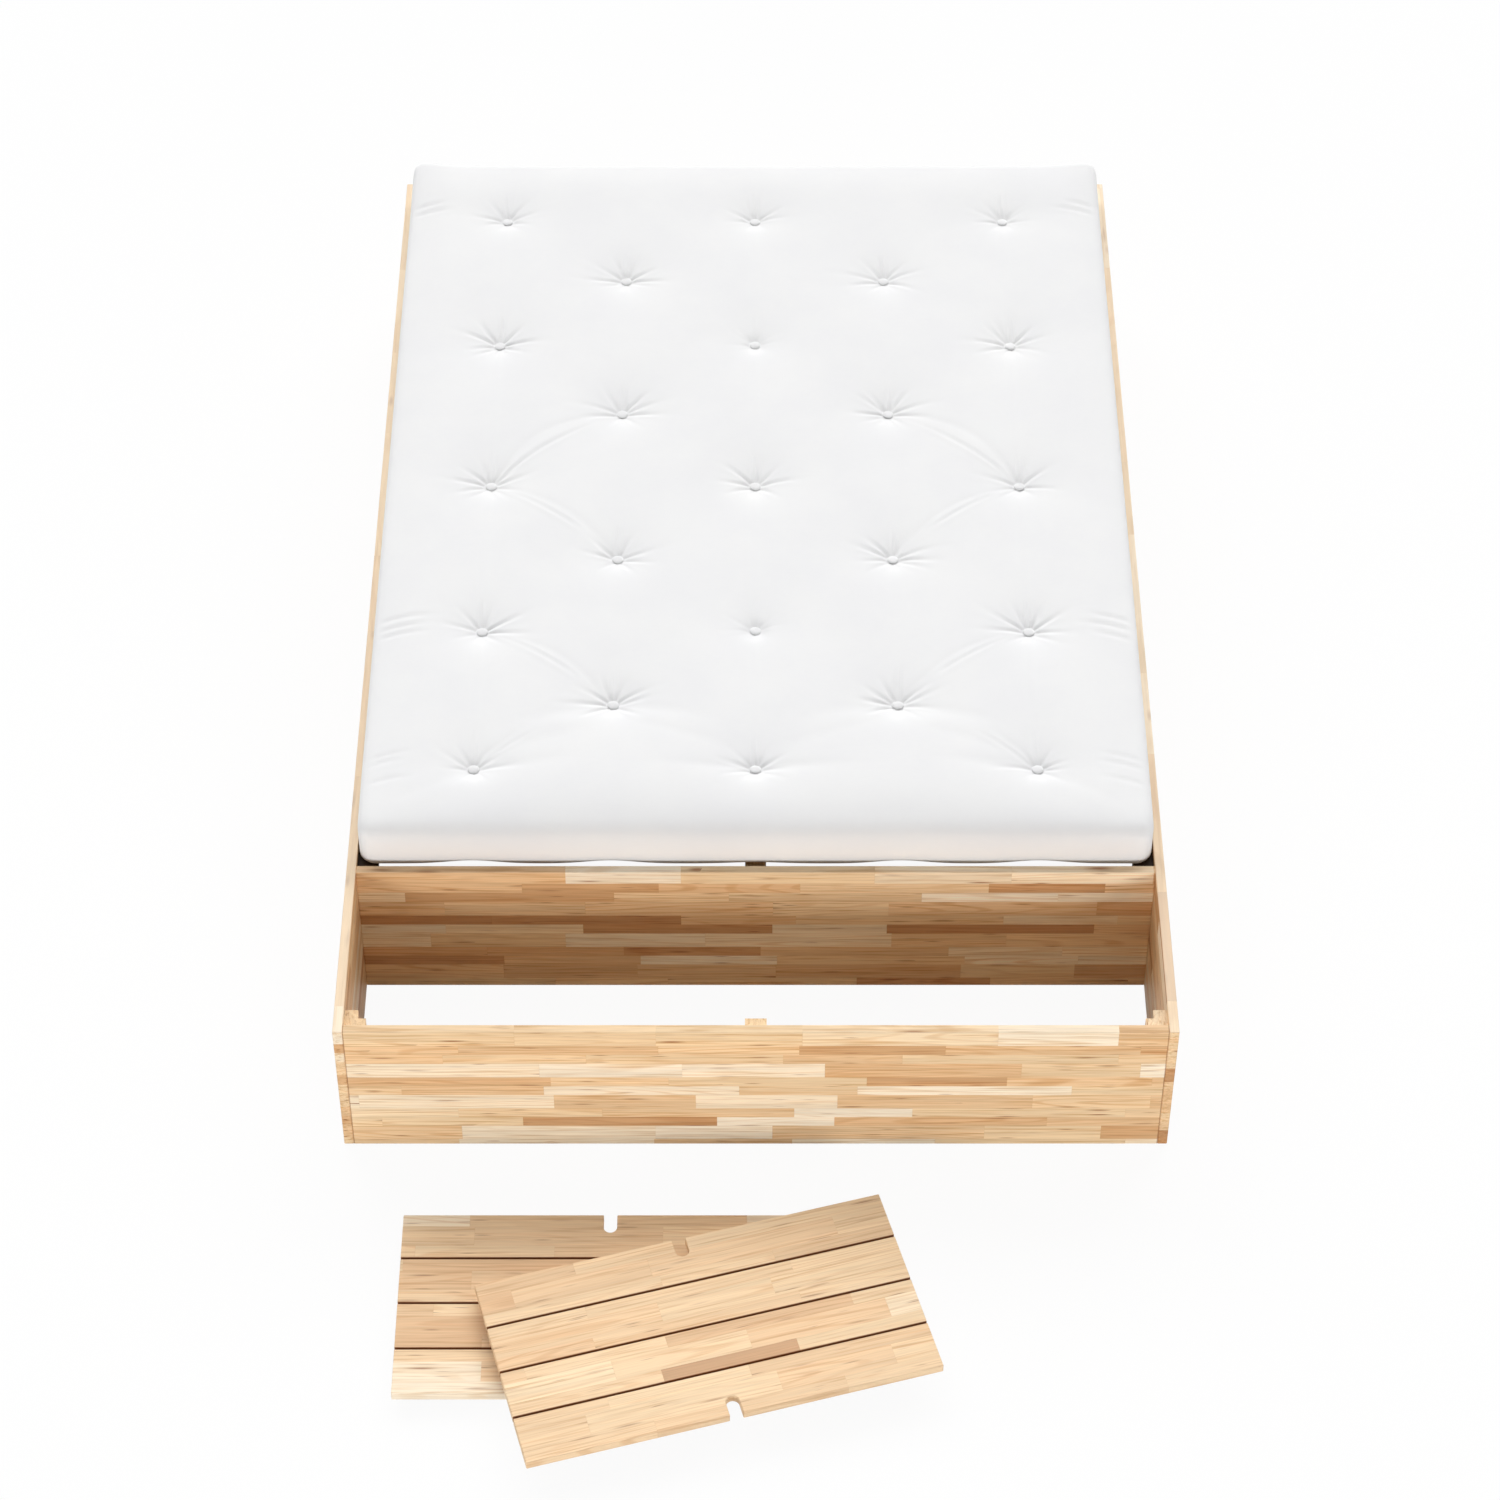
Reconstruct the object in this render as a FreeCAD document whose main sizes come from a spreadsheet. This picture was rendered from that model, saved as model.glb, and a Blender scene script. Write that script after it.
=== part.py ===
import FreeCAD, Part

import math
import os
import re

import Sketcher

# Storage bed: a bottomless box of glued-stave boards with an open compartment at its foot, two loose
# slatted lids for that compartment, a slatted base and a tufted mattress.
# Millimetres, +Z up, +Y from foot to head. The origin is on the floor, in the middle of the foot board.

doc = FreeCAD.newDocument("storage_bed")
sheet = doc.addObject("Spreadsheet::Sheet", "sizes")

# Driving sizes: name, value, meaning
SIZES = (
    ("mattress_width", 1514, "mattress across the bed"),
    ("mattress_length", 2004, "mattress along the bed"),
    ("mattress_height", 109, "mattress from its underside to its crown"),
    ("mattress_edge", 26, "how far the soft edge is rounded in"),
    ("mattress_corner", 55, "corner radius of the mattress seen from above"),
    ("mattress_draw", 5, "how far each side is drawn in between its corners"),
    ("mattress_side_gap", 3, "gap between mattress and side board"),
    ("mattress_foot_gap", 20, "gap between mattress and partition"),
    ("mattress_head_gap", 10, "gap between mattress and head board"),
    ("soft_clearance", 0.3, "gap under the mattress and under its buttons"),
    ("tuft_depth", 15, "depth of a sewn tuft"),
    ("tuft_reach", 72, "how far a tuft's pleats run out from its button"),
    ("button_diameter", 22, "tuft button across"),
    ("button_height", 7, "tuft button height"),
    ("board_thickness", 18, "glued-stave board"),
    ("board_height", 330, "boards from the floor to their top edges"),
    ("compartment_depth", 375, "clear depth of the foot compartment"),
    ("edge_ease", 1.2, "eased edge of boards, planks and slats"),
    ("post_width", 40, "post across the bed"),
    ("post_depth", 30, "post along the bed"),
    ("post_recess", 18, "post tops and slat tops below the board edges"),
    ("cleat_width", 25, "side cleat across the bed"),
    ("cleat_depth", 20, "side cleat along the bed"),
    ("bolt_diameter", 6, "corner bolt shank"),
    ("bolt_length", 42, "corner bolt under its head"),
    ("bolt_head_width", 10, "corner bolt's six-sided head across its flats"),
    ("bolt_head_height", 4, "corner bolt head height"),
    ("bolt_low_height", 80, "lower corner bolt above the floor"),
    ("bolt_ledger_drop", 49, "upper corner bolt below the ledgers"),
    ("ledger_width", 25, "ledger across the bed"),
    ("ledger_height", 45, "ledger height"),
    ("slat_width", 90, "slat along the bed"),
    ("slat_thickness", 18, "slat thickness"),
    ("slat_end_gap", 5, "gap between the outer slats and the cleats"),
    ("slat_side_gap", 4, "gap between slat ends and side boards"),
    ("strap_width", 30, "webbing strap across"),
    ("strap_thickness", 1.5, "webbing strap thickness"),
    ("strap_offset", 450, "webbing strap from the middle of the bed"),
    ("beam_width", 40, "centre beam across the bed"),
    ("beam_height", 70, "centre beam height"),
    ("leg_depth", 40, "centre leg along the bed"),
    ("hole_clearance", 0.2, "clearance around a bolt in its hole"),
    ("hole_spare", 2, "drilled depth beyond a bolt's tip"),
    ("cut_overrun", 2, "how far cutting shapes stand out of what they cut"),
    ("lid_thickness", 18, "lid plank"),
    ("lid_gap", 3, "gap between lid planks"),
    ("lid_lap", 12.5, "lid lying on the foot board and the partition"),
    ("lid_side_lap", 9, "lid lying on a side board"),
    ("lid_joint_gap", 2, "gap between the two lids in use"),
    ("batten_width", 60, "lid batten along the lid"),
    ("batten_thickness", 18, "lid batten"),
    ("batten_clearance", 7.5, "gap between a batten's end and the board beside it"),
    ("batten_spread", 150, "batten from the middle of its lid"),
    ("notch_width", 25, "finger notch across"),
    ("notch_depth", 40, "finger notch from the lid's edge to its round end"),
    ("lower_lid_side", -269, "lower lid's middle from the middle of the bed"),
    ("lower_lid_away", 395, "lower lid's middle in front of the foot board"),
    ("upper_lid_side", -88, "upper lid's middle from the middle of the bed"),
    ("upper_lid_away", 470, "upper lid's middle in front of the foot board"),
    ("upper_lid_angle", 15.7, "upper lid's turn on the lower one, degrees"),
)
NAMES = {name for name, _, _ in SIZES}
for row, (name, number, meaning) in enumerate(SIZES, start=1):
    sheet.set(f"A{row}", name)
    sheet.set(f"B{row}", str(number))
    sheet.setAlias(f"B{row}", name)
    sheet.set(f"C{row}", meaning)
doc.recompute()

# Counts
SLAT_COUNT = 13
PLANK_COUNT = 4
PLEAT_COUNT = 8
BUTTON_SIDES = 16

# Places along the bed, across it and above the floor, as formulas of the sizes
INNER_WIDTH = "(mattress_width + 2 * mattress_side_gap)"
SLEEP_LENGTH = "(mattress_length + mattress_foot_gap + mattress_head_gap)"
BED_LENGTH = f"(3 * board_thickness + compartment_depth + {SLEEP_LENGTH})"
INNER_LEFT = f"(-{INNER_WIDTH} / 2)"
INNER_RIGHT = f"({INNER_WIDTH} / 2)"
FOOT_FRONT = "(-board_thickness / 2)"
FOOT_BACK = "(board_thickness / 2)"
PARTITION_FRONT = f"({FOOT_BACK} + compartment_depth)"
PARTITION_BACK = f"({PARTITION_FRONT} + board_thickness)"
HEAD_FRONT = f"({PARTITION_BACK} + {SLEEP_LENGTH})"
POST_TOP = "(board_height - post_recess)"
SLAT_UNDERSIDE = f"({POST_TOP} - slat_thickness)"
BEAM_UNDERSIDE = f"({SLAT_UNDERSIDE} - beam_height)"
CORNER_DEPTH = "(post_depth + cleat_depth)"
LEDGER_START = f"({PARTITION_BACK} + {CORNER_DEPTH})"
LEDGER_LENGTH = f"({SLEEP_LENGTH} - 2 * {CORNER_DEPTH})"
SLAT_START = f"({LEDGER_START} + slat_end_gap)"
SLAT_PITCH = f"(({LEDGER_LENGTH} - 2 * slat_end_gap - slat_width) / {SLAT_COUNT - 1})"
LID_LENGTH = f"(({INNER_WIDTH} + 2 * lid_side_lap - lid_joint_gap) / 2)"
LID_DEPTH = "(compartment_depth + 2 * lid_lap)"
LID_HEIGHT = "(batten_thickness + lid_thickness)"
PLANK_WIDTH = f"(({LID_DEPTH} - {PLANK_COUNT - 1} * lid_gap) / {PLANK_COUNT})"
BATTEN_LENGTH = "(compartment_depth - 2 * batten_clearance)"

SIDES = (("left", INNER_LEFT, 1), ("right", INNER_RIGHT, -1))
STATIONS = (("foot", FOOT_BACK, 1), ("partition", PARTITION_BACK, 1), ("head", HEAD_FRONT, -1))
BOLT_HEIGHTS = ("bolt_low_height", f"({SLAT_UNDERSIDE} - ledger_height - bolt_ledger_drop)")
UPWARD = FreeCAD.Vector(0, 0, 1)
ALONG_BED = FreeCAD.Vector(0, 1, 0)

subparts = []


def formula(words):
    """Write a formula of size names as an expression that any object can hold."""
    return re.sub(r"[a-z_]+", lambda m: f"sizes.{m.group()}" if m.group() in NAMES else m.group(), words)


def value(words):
    """Work out a formula of size names."""
    return float(sheet.evalExpression(words))


def point(place):
    """Work out a place given as three formulas."""
    return FreeCAD.Vector(*[value(words) for words in place])


def low_edge(face, sign, size):
    """Give the low edge of a piece of this size that starts at a face and grows along the sign."""
    return face if sign > 0 else f"({face} - {size})"


def set_place(item, place, turn="0"):
    """Bind an object's corner and its turn about the vertical."""
    for axis, words in zip("xyz", place):
        item.setExpression(f".Placement.Base.{axis}", formula(words))
    item.setExpression(".Placement.Rotation.Angle", formula(turn))


def keep(item, label):
    """Name an object as a finished sub-part."""
    item.Label = label
    subparts.append(item)
    return item


def name_constraint(sketch, constraint, words):
    """Bind a driving constraint of a sketch to a formula."""
    index = sketch.addConstraint(constraint)
    sketch.setExpression(f"Constraints[{index}]", formula(words))


def new_sketch(body):
    """Put an empty sketch on the ground plane of a body."""
    plane = next(item for item in body.Origin.OriginFeatures if item.Role == "XY_Plane")
    sketch = body.newObject("Sketcher::SketchObject", f"{body.Name}_outline")
    sketch.AttachmentSupport = [(plane, "")]
    sketch.MapMode = "FlatFace"
    return sketch


def draw_rectangle(sketch, length, width):
    """Draw a rectangle with one corner on the sketch's origin."""
    across, along = value(length), value(width)
    corners = [(0, 0), (across, 0), (across, along), (0, along)]
    points = [FreeCAD.Vector(x, y, 0) for x, y in corners]
    for index in range(4):
        sketch.addGeometry(Part.LineSegment(points[index], points[(index + 1) % 4]))
    for index in range(4):
        sketch.addConstraint(Sketcher.Constraint("Coincident", index, 2, (index + 1) % 4, 1))
        sketch.addConstraint(Sketcher.Constraint("Horizontal" if index % 2 == 0 else "Vertical", index))
    sketch.addConstraint(Sketcher.Constraint("Coincident", 0, 1, -1, 1))
    name_constraint(sketch, Sketcher.Constraint("DistanceX", 0, 1, 0, 2, across), length)
    name_constraint(sketch, Sketcher.Constraint("DistanceY", 1, 1, 1, 2, along), width)


def draw_notched_rectangle(sketch, length, width):
    """Draw a rectangle with a round-ended finger notch in the middle of its first long side."""
    across, along = value(length), value(width)
    radius, straight = value("notch_width / 2"), value("notch_depth - notch_width / 2")
    middle = across / 2
    corners = [(0, 0), (middle - radius, 0), (middle - radius, straight), (middle + radius, straight),
               (middle + radius, 0), (across, 0), (across, along), (0, along)]
    points = [FreeCAD.Vector(x, y, 0) for x, y in corners]
    round_end = Part.Circle(FreeCAD.Vector(middle, straight, 0), UPWARD, radius)
    for index in range(8):
        if index == 2:
            sketch.addGeometry(Part.ArcOfCircle(round_end, 0, math.pi))
        else:
            sketch.addGeometry(Part.LineSegment(points[index], points[(index + 1) % 8]))
    for index, other in ((0, 1), (3, 4), (4, 5), (5, 6), (6, 7), (7, 0)):
        sketch.addConstraint(Sketcher.Constraint("Coincident", index, 2, other, 1))
    sketch.addConstraint(Sketcher.Constraint("Tangent", 1, 2, 2, 2))
    sketch.addConstraint(Sketcher.Constraint("Tangent", 3, 1, 2, 1))
    for index in (0, 4, 6):
        sketch.addConstraint(Sketcher.Constraint("Horizontal", index))
    for index in (1, 5, 7):
        sketch.addConstraint(Sketcher.Constraint("Vertical", index))
    sketch.addConstraint(Sketcher.Constraint("Coincident", 0, 1, -1, 1))
    sketch.addConstraint(Sketcher.Constraint("Equal", 0, 4))
    sketch.addConstraint(Sketcher.Constraint("PointOnObject", 4, 1, -1))
    name_constraint(sketch, Sketcher.Constraint("DistanceX", 7, 1, 6, 1, across), length)
    name_constraint(sketch, Sketcher.Constraint("DistanceY", 5, 1, 5, 2, along), width)
    name_constraint(sketch, Sketcher.Constraint("Radius", 2, radius), "notch_width / 2")
    name_constraint(sketch, Sketcher.Constraint("DistanceY", 1, 1, 1, 2, straight),
                    "notch_depth - notch_width / 2")


def board(name, size, place, turn="0", draw=draw_rectangle):
    """Pad an outline on the ground into a board and ease all its edges."""
    body = doc.addObject("PartDesign::Body", name)
    length, width, height = size
    sketch = new_sketch(body)
    draw(sketch, length, width)
    pad = body.newObject("PartDesign::Pad", f"{name}_pad")
    pad.Profile = sketch
    pad.setExpression("Length", formula(height))
    doc.recompute()
    ease = body.newObject("PartDesign::Chamfer", f"{name}_ease")
    ease.Base = (pad, [])
    ease.UseAllEdges = True
    ease.setExpression("Size", formula("edge_ease"))
    body.Tip = ease
    set_place(body, place, turn)
    return body


def block(name, size, place, turn="0"):
    """Cut a plain square-edged block."""
    box = doc.addObject("Part::Box", name)
    for side, words in zip(("Length", "Width", "Height"), size):
        box.setExpression(side, formula(words))
    set_place(box, place, turn)
    return box


def cut_out(base, label, cutters):
    """Take the cutters away from a piece and keep the result."""
    tool = doc.addObject("Part::Compound", f"{label}_holes")
    tool.Links = cutters
    cut = doc.addObject("Part::Cut", f"{label}_cut")
    cut.Base = base
    cut.Tool = tool
    doc.recompute()
    if cut.Shape.Volume >= base.Shape.Volume:
        raise RuntimeError(f"{label}: the holes cut nothing")
    return keep(cut, label)


def bolt_hole(name, place, along, depth):
    """Make the cutter of a bolt's hole that runs along the bed or back along it."""
    cutter = doc.addObject("Part::Cylinder", name)
    cutter.setExpression("Radius", formula("bolt_diameter / 2 + hole_clearance"))
    cutter.setExpression("Height", formula(depth))
    cutter.Placement.Rotation = FreeCAD.Rotation(UPWARD, ALONG_BED * along)
    for axis, words in zip("xyz", place):
        cutter.setExpression(f".Placement.Base.{axis}", formula(words))
    return cutter


def coach_bolt():
    """Make a six-sided bolt head on a round shank, the head's underside at the origin."""
    corner = value("bolt_head_width") / 2 / math.cos(math.pi / 6)
    turns = [index * math.pi / 3 for index in range(7)]
    corners = [FreeCAD.Vector(corner * math.cos(turn), corner * math.sin(turn), 0) for turn in turns]
    head = Part.Face(Part.makePolygon(corners)).extrude(UPWARD * -value("bolt_head_height"))
    return head.fuse(Part.makeCylinder(value("bolt_diameter") / 2, value("bolt_length")))


# Side boards, full length
for side, face, sign in SIDES:
    label = f"side_board_{side}"
    outer = low_edge(face, -sign, "board_thickness")
    keep(board(label, ("board_thickness", BED_LENGTH, "board_height"), (outer, FOOT_FRONT, "0")), label)

# Cross boards between the side boards
CROSS_BOARDS = (("foot_board", FOOT_FRONT), ("partition_board", PARTITION_FRONT), ("head_board", HEAD_FRONT))
for label, front in CROSS_BOARDS:
    keep(board(label, (INNER_WIDTH, "board_thickness", "board_height"), (INNER_LEFT, front, "0")), label)

# Corner posts on the cross boards and cleats on the side boards, drawn together by bolts
bolts = []
for station, board_face, along in STATIONS:
    post_face = f"({board_face} + {along} * post_depth)"
    cleat_face = f"({post_face} + {along} * cleat_depth)"
    outer_face = f"({cleat_face} + {along} * cut_overrun)"
    for side, side_face, across in SIDES:
        post, cleat = f"{station}_post_{side}", f"{station}_cleat_{side}"
        post_side, cleat_side = [low_edge(side_face, across, size) for size in ("post_width", "cleat_width")]
        post_place = (post_side, low_edge(board_face, along, "post_depth"), "0")
        post_blank = block(f"{post}_blank", ("post_width", "post_depth", POST_TOP), post_place)
        cleat_place = (cleat_side, low_edge(post_face, along, "cleat_depth"), "0")
        cleat_blank = block(f"{cleat}_blank", ("cleat_width", "cleat_depth", POST_TOP), cleat_place)
        bolt_side = f"({side_face} + {across} * cleat_width / 2)"
        holes = [bolt_hole(f"{cleat}_hole_{index}", (bolt_side, outer_face, height), -along,
                           "cut_overrun + bolt_length + hole_spare")
                 for index, height in enumerate(BOLT_HEIGHTS)]
        cut_out(post_blank, post, holes)
        cut_out(cleat_blank, cleat, holes)
        for height in BOLT_HEIGHTS:
            bolt = coach_bolt()
            turn = FreeCAD.Rotation(UPWARD, ALONG_BED * -along)
            bolt.Placement = FreeCAD.Placement(point((bolt_side, cleat_face, height)), turn)
            bolts.append(bolt)
bolt_group = doc.addObject("Part::Feature", "corner_bolts")
bolt_group.Shape = Part.makeCompound(bolts)
keep(bolt_group, "corner_bolts")

# Centre posts: the foot one is full height, the other two carry the centre beam
for station, board_face, along in STATIONS:
    top = POST_TOP if station == "foot" else BEAM_UNDERSIDE
    label = f"{station}_centre_post"
    keep(block(label, ("post_width", "post_depth", top),
               ("-post_width / 2", low_edge(board_face, along, "post_depth"), "0")), label)

# Centre beam on its posts, with a leg under its middle
keep(block("centre_beam", ("beam_width", SLEEP_LENGTH, "beam_height"),
           ("-beam_width / 2", PARTITION_BACK, BEAM_UNDERSIDE)), "centre_beam")
leg_start = f"({PARTITION_BACK} + {SLEEP_LENGTH} / 2 - leg_depth / 2)"
keep(block("centre_leg", ("beam_width", "leg_depth", BEAM_UNDERSIDE), ("-beam_width / 2", leg_start, "0")),
     "centre_leg")

# Ledgers along the side boards
for side, face, sign in SIDES:
    label = f"ledger_{side}"
    place = (low_edge(face, sign, "ledger_width"), LEDGER_START, f"({SLAT_UNDERSIDE} - ledger_height)")
    keep(block(label, ("ledger_width", LEDGER_LENGTH, "ledger_height"), place), label)

# Slats across the ledgers and the beam, held apart by two webbing straps
for slat in range(SLAT_COUNT):
    label = f"slat_{slat + 1:02d}"
    place = (f"({INNER_LEFT} + slat_side_gap)", f"({SLAT_START} + {slat} * {SLAT_PITCH})", SLAT_UNDERSIDE)
    keep(board(label, (f"({INNER_WIDTH} - 2 * slat_side_gap)", "slat_width", "slat_thickness"), place), label)
for side, sign in (("left", -1), ("right", 1)):
    label = f"slat_strap_{side}"
    size = ("strap_width", f"({LEDGER_LENGTH} - 2 * slat_end_gap)", "strap_thickness")
    across = f"({sign} * strap_offset - strap_width / 2)"
    keep(block(label, size, (across, SLAT_START, f"({SLAT_UNDERSIDE} - strap_thickness)")), label)


def lid_place(lid, turn, across, along, height):
    """Give a place on the floor from its distances to a lid's middle, turned with the lid."""
    angle = f"({turn} * 1 deg)"
    return (f"({lid}_side + ({across}) * cos{angle} - ({along}) * sin{angle})",
            f"({FOOT_FRONT} - {lid}_away + ({across}) * sin{angle} + ({along}) * cos{angle})", height)


# Lids, left on the floor with the upper one lying askew on the lower one
for lid, level, turn in (("lower_lid", "0", "0"), ("upper_lid", LID_HEIGHT, "upper_lid_angle")):
    plank_level = f"({level} + batten_thickness)"
    for plank in range(PLANK_COUNT):
        label = f"{lid}_plank_{plank + 1}"
        size = (LID_LENGTH, PLANK_WIDTH, "lid_thickness")
        if plank == PLANK_COUNT - 1:
            corner = lid_place(lid, turn, f"{LID_LENGTH} / 2", f"{LID_DEPTH} / 2", plank_level)
            keep(board(label, size, corner, f"{turn} + 180", draw_notched_rectangle), label)
        else:
            start = f"({plank} * ({PLANK_WIDTH} + lid_gap) - {LID_DEPTH} / 2)"
            corner = lid_place(lid, turn, f"-{LID_LENGTH} / 2", start, plank_level)
            draw = draw_notched_rectangle if plank == 0 else draw_rectangle
            keep(board(label, size, corner, turn, draw), label)
    for side, sign in (("left", -1), ("right", 1)):
        label = f"{lid}_batten_{side}"
        start = f"{sign} * batten_spread - batten_width / 2"
        corner = lid_place(lid, turn, start, f"-{BATTEN_LENGTH} / 2", level)
        keep(block(label, ("batten_width", BATTEN_LENGTH, "batten_thickness"), corner, turn), label)

# Mattress outline from its underside to its crown: share of the height, and shares of the soft edge by
# which the outline stands in
MATTRESS_SECTION_SHARES = ((0.0, 1.0), (0.03, 0.6), (0.1, 0.24), (0.22, 0.05), (0.36, 0.0), (0.62, 0.0),
                           (0.76, 0.08), (0.87, 0.34), (0.94, 0.85), (0.975, 1.9), (0.992, 4.5), (1.0, 12.0))
# Tuft rows as shares of the mattress length from its foot end, and columns as shares of its half width
TUFT_WIDE_ROW_SHARES = (0.080, 0.267, 0.478, 0.696, 0.901)
TUFT_NARROW_ROW_SHARES = (0.166, 0.370, 0.588, 0.801)
TUFT_WIDE_COLUMN_SHARES = (-0.715, 0.0, 0.715)
TUFT_NARROW_COLUMN_SHARES = (-0.366, 0.366)
# Hollow of a tuft from its floor to its rim: share of the depth, and share of the pleats' reach
TUFT_SECTION_SHARES = ((1.0, 0.22), (0.45, 0.45), (0.0, 1.0))
PLEAT_VALLEY_SHARE = 0.72
BUTTON_TOP_SHARE = 0.6


def cushion_outline(half_width, half_length, corner, draw, height):
    """Draw a rounded rectangle whose four sides are drawn in between the corners."""
    def at(x, y):
        return FreeCAD.Vector(x, y, height)

    slant = corner * (1 - math.sqrt(0.5))
    straight_x, straight_y = half_width - corner, half_length - corner
    edges = []
    for x_sign, y_sign in ((1, 1), (-1, 1), (-1, -1), (1, -1)):
        on_side = at(x_sign * half_width, y_sign * straight_y)
        on_end = at(x_sign * straight_x, y_sign * half_length)
        bend = at(x_sign * (half_width - slant), y_sign * (half_length - slant))
        first, last = (on_side, on_end) if x_sign == y_sign else (on_end, on_side)
        edges.append(Part.Arc(first, bend, last).toShape())
        if x_sign == y_sign:
            middle = at(0, y_sign * (half_length - draw))
            edges.append(Part.Arc(last, middle, at(-x_sign * straight_x, y_sign * half_length)).toShape())
        else:
            middle = at(x_sign * (half_width - draw), 0)
            edges.append(Part.Arc(last, middle, at(x_sign * half_width, -y_sign * straight_y)).toShape())
    return Part.Wire(edges)


def ring(sizes, height):
    """Draw a closed ring of corners about the vertical, the corner distances taken in turn."""
    corners = []
    for index, size in enumerate(sizes):
        turn = index * 2 * math.pi / len(sizes)
        corners.append(FreeCAD.Vector(size * math.cos(turn), size * math.sin(turn), height))
    return Part.makePolygon(corners + corners[:1])


def tuft_cutter():
    """Loft the pleated hollow that a sewn tuft pulls into the cover, its rim just above the origin."""
    depth, reach, overrun = value("tuft_depth"), value("tuft_reach"), value("cut_overrun")
    stars = []
    for depth_share, size_share in TUFT_SECTION_SHARES:
        pleat = size_share * reach
        height = overrun - depth_share * (depth + overrun)
        stars.append(ring([pleat, pleat * PLEAT_VALLEY_SHARE] * PLEAT_COUNT, height))
    return Part.makeLoft(stars, True, True)


def button_shape():
    """Loft a tuft button that narrows upwards, its base at the origin."""
    radius = value("button_diameter / 2")
    base = ring([radius] * BUTTON_SIDES, 0)
    top = ring([radius * BUTTON_TOP_SHARE] * BUTTON_SIDES, value("button_height"))
    return Part.makeLoft([base, top], True, True)


# Mattress, modelled about its own middle and underside
half_width, half_length = value("mattress_width / 2"), value("mattress_length / 2")
full_height, soft_edge = value("mattress_height"), value("mattress_edge")
sections = []
for height_share, edge_share in MATTRESS_SECTION_SHARES:
    inset = edge_share * soft_edge
    sections.append(cushion_outline(half_width - inset, half_length - inset, value("mattress_corner"),
                                    value("mattress_draw"), height_share * full_height))
mattress_shape = Part.makeLoft(sections, True, True)
tuft_shares = [(row, column) for row in TUFT_WIDE_ROW_SHARES for column in TUFT_WIDE_COLUMN_SHARES]
tuft_shares += [(row, column) for row in TUFT_NARROW_ROW_SHARES for column in TUFT_NARROW_COLUMN_SHARES]
cutters = []
buttons = []
for row_share, column_share in tuft_shares:
    x, y = column_share * half_width, (2 * row_share - 1) * half_length
    probe = Part.makeLine(FreeCAD.Vector(x, y, 0), FreeCAD.Vector(x, y, 2 * full_height))
    crown = FreeCAD.Vector(x, y, mattress_shape.common(probe).BoundBox.ZMax)
    cutter = tuft_cutter()
    cutter.translate(crown)
    cutters.append(cutter)
    button = button_shape()
    button.translate(crown + UPWARD * value("soft_clearance - tuft_depth"))
    buttons.append(button)
tufted_shape = mattress_shape.cut(cutters)
if tufted_shape.Volume >= mattress_shape.Volume:
    raise RuntimeError("the tufts cut nothing")
mattress_middle = f"({PARTITION_BACK} + mattress_foot_gap + mattress_length / 2)"
mattress_place = ("0", mattress_middle, f"({POST_TOP} + soft_clearance)")
for label, shape in (("mattress", tufted_shape), ("tuft_buttons", Part.makeCompound(buttons))):
    feature = doc.addObject("Part::Feature", label)
    feature.Shape = shape
    feature.Placement = FreeCAD.Placement(point(mattress_place), FreeCAD.Rotation())
    keep(feature, label)

# Test every object, then write one file for each sub-part
doc.recompute()
for item in doc.Objects:
    if "Invalid" in item.State or "Error" in item.State:
        raise RuntimeError(f"{item.Label} failed: {item.State}")
for item in subparts:
    if item.Shape.isNull() or not item.Shape.isValid():
        raise RuntimeError(f"{item.Label} has no valid shape")
os.makedirs("parts", exist_ok=True)
for item in subparts:
    item.Shape.exportStep(os.path.join("parts", f"{item.Label}.step"))
    print(item.Label, len(item.Shape.Solids), round(item.Shape.Volume))
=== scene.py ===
"""Looks of the storage bed: glued-stave wood, a sewn and tufted mattress, and a plain pale studio."""

import logging
import math
from collections.abc import Iterable, Mapping, Sequence
from dataclasses import dataclass, field
from enum import Enum

import bpy
import numpy as np
from mathutils import Matrix, Vector


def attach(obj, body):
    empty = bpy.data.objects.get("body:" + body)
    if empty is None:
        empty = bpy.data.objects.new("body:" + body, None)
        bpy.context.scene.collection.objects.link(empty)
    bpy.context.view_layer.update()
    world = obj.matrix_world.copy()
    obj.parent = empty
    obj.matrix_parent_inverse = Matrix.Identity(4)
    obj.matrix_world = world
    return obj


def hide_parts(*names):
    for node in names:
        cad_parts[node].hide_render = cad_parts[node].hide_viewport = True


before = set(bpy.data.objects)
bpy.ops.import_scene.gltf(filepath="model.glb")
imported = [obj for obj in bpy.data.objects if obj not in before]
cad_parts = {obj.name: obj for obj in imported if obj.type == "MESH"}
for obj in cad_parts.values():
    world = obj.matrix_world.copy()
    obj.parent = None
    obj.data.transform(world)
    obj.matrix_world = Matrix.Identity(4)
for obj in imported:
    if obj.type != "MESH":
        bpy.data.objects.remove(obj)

LOG = logging.getLogger("storage_bed")
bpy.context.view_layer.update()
TINY = 1e-9

Piece = bpy.types.Object
Socket = bpy.types.NodeSocket
Source = Socket | float | Sequence[float]
Sources = Mapping[str | int, Source]
Pair = tuple[float, float]
Triple = tuple[float, float, float]
Colour = tuple[float, float, float, float]


# Colours and curves
def linear(red: int, green: int, blue: int) -> Colour:
    """Turns a colour as a screen shows it into the linear colour that a shader takes.

    Args:
        red, green, blue: the colour, each from 0 to 255.

    Returns:
        The linear colour with an alpha of 1.
    """
    shares = (level / 255 for level in (red, green, blue))
    light = [share / 12.92 if share <= 0.04045 else ((share + 0.055) / 1.055) ** 2.4 for share in shares]
    return light[0], light[1], light[2], 1.0


def grey(level: float) -> Colour:
    """Gives the linear grey of this level."""
    return level, level, level, 1.0


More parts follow.
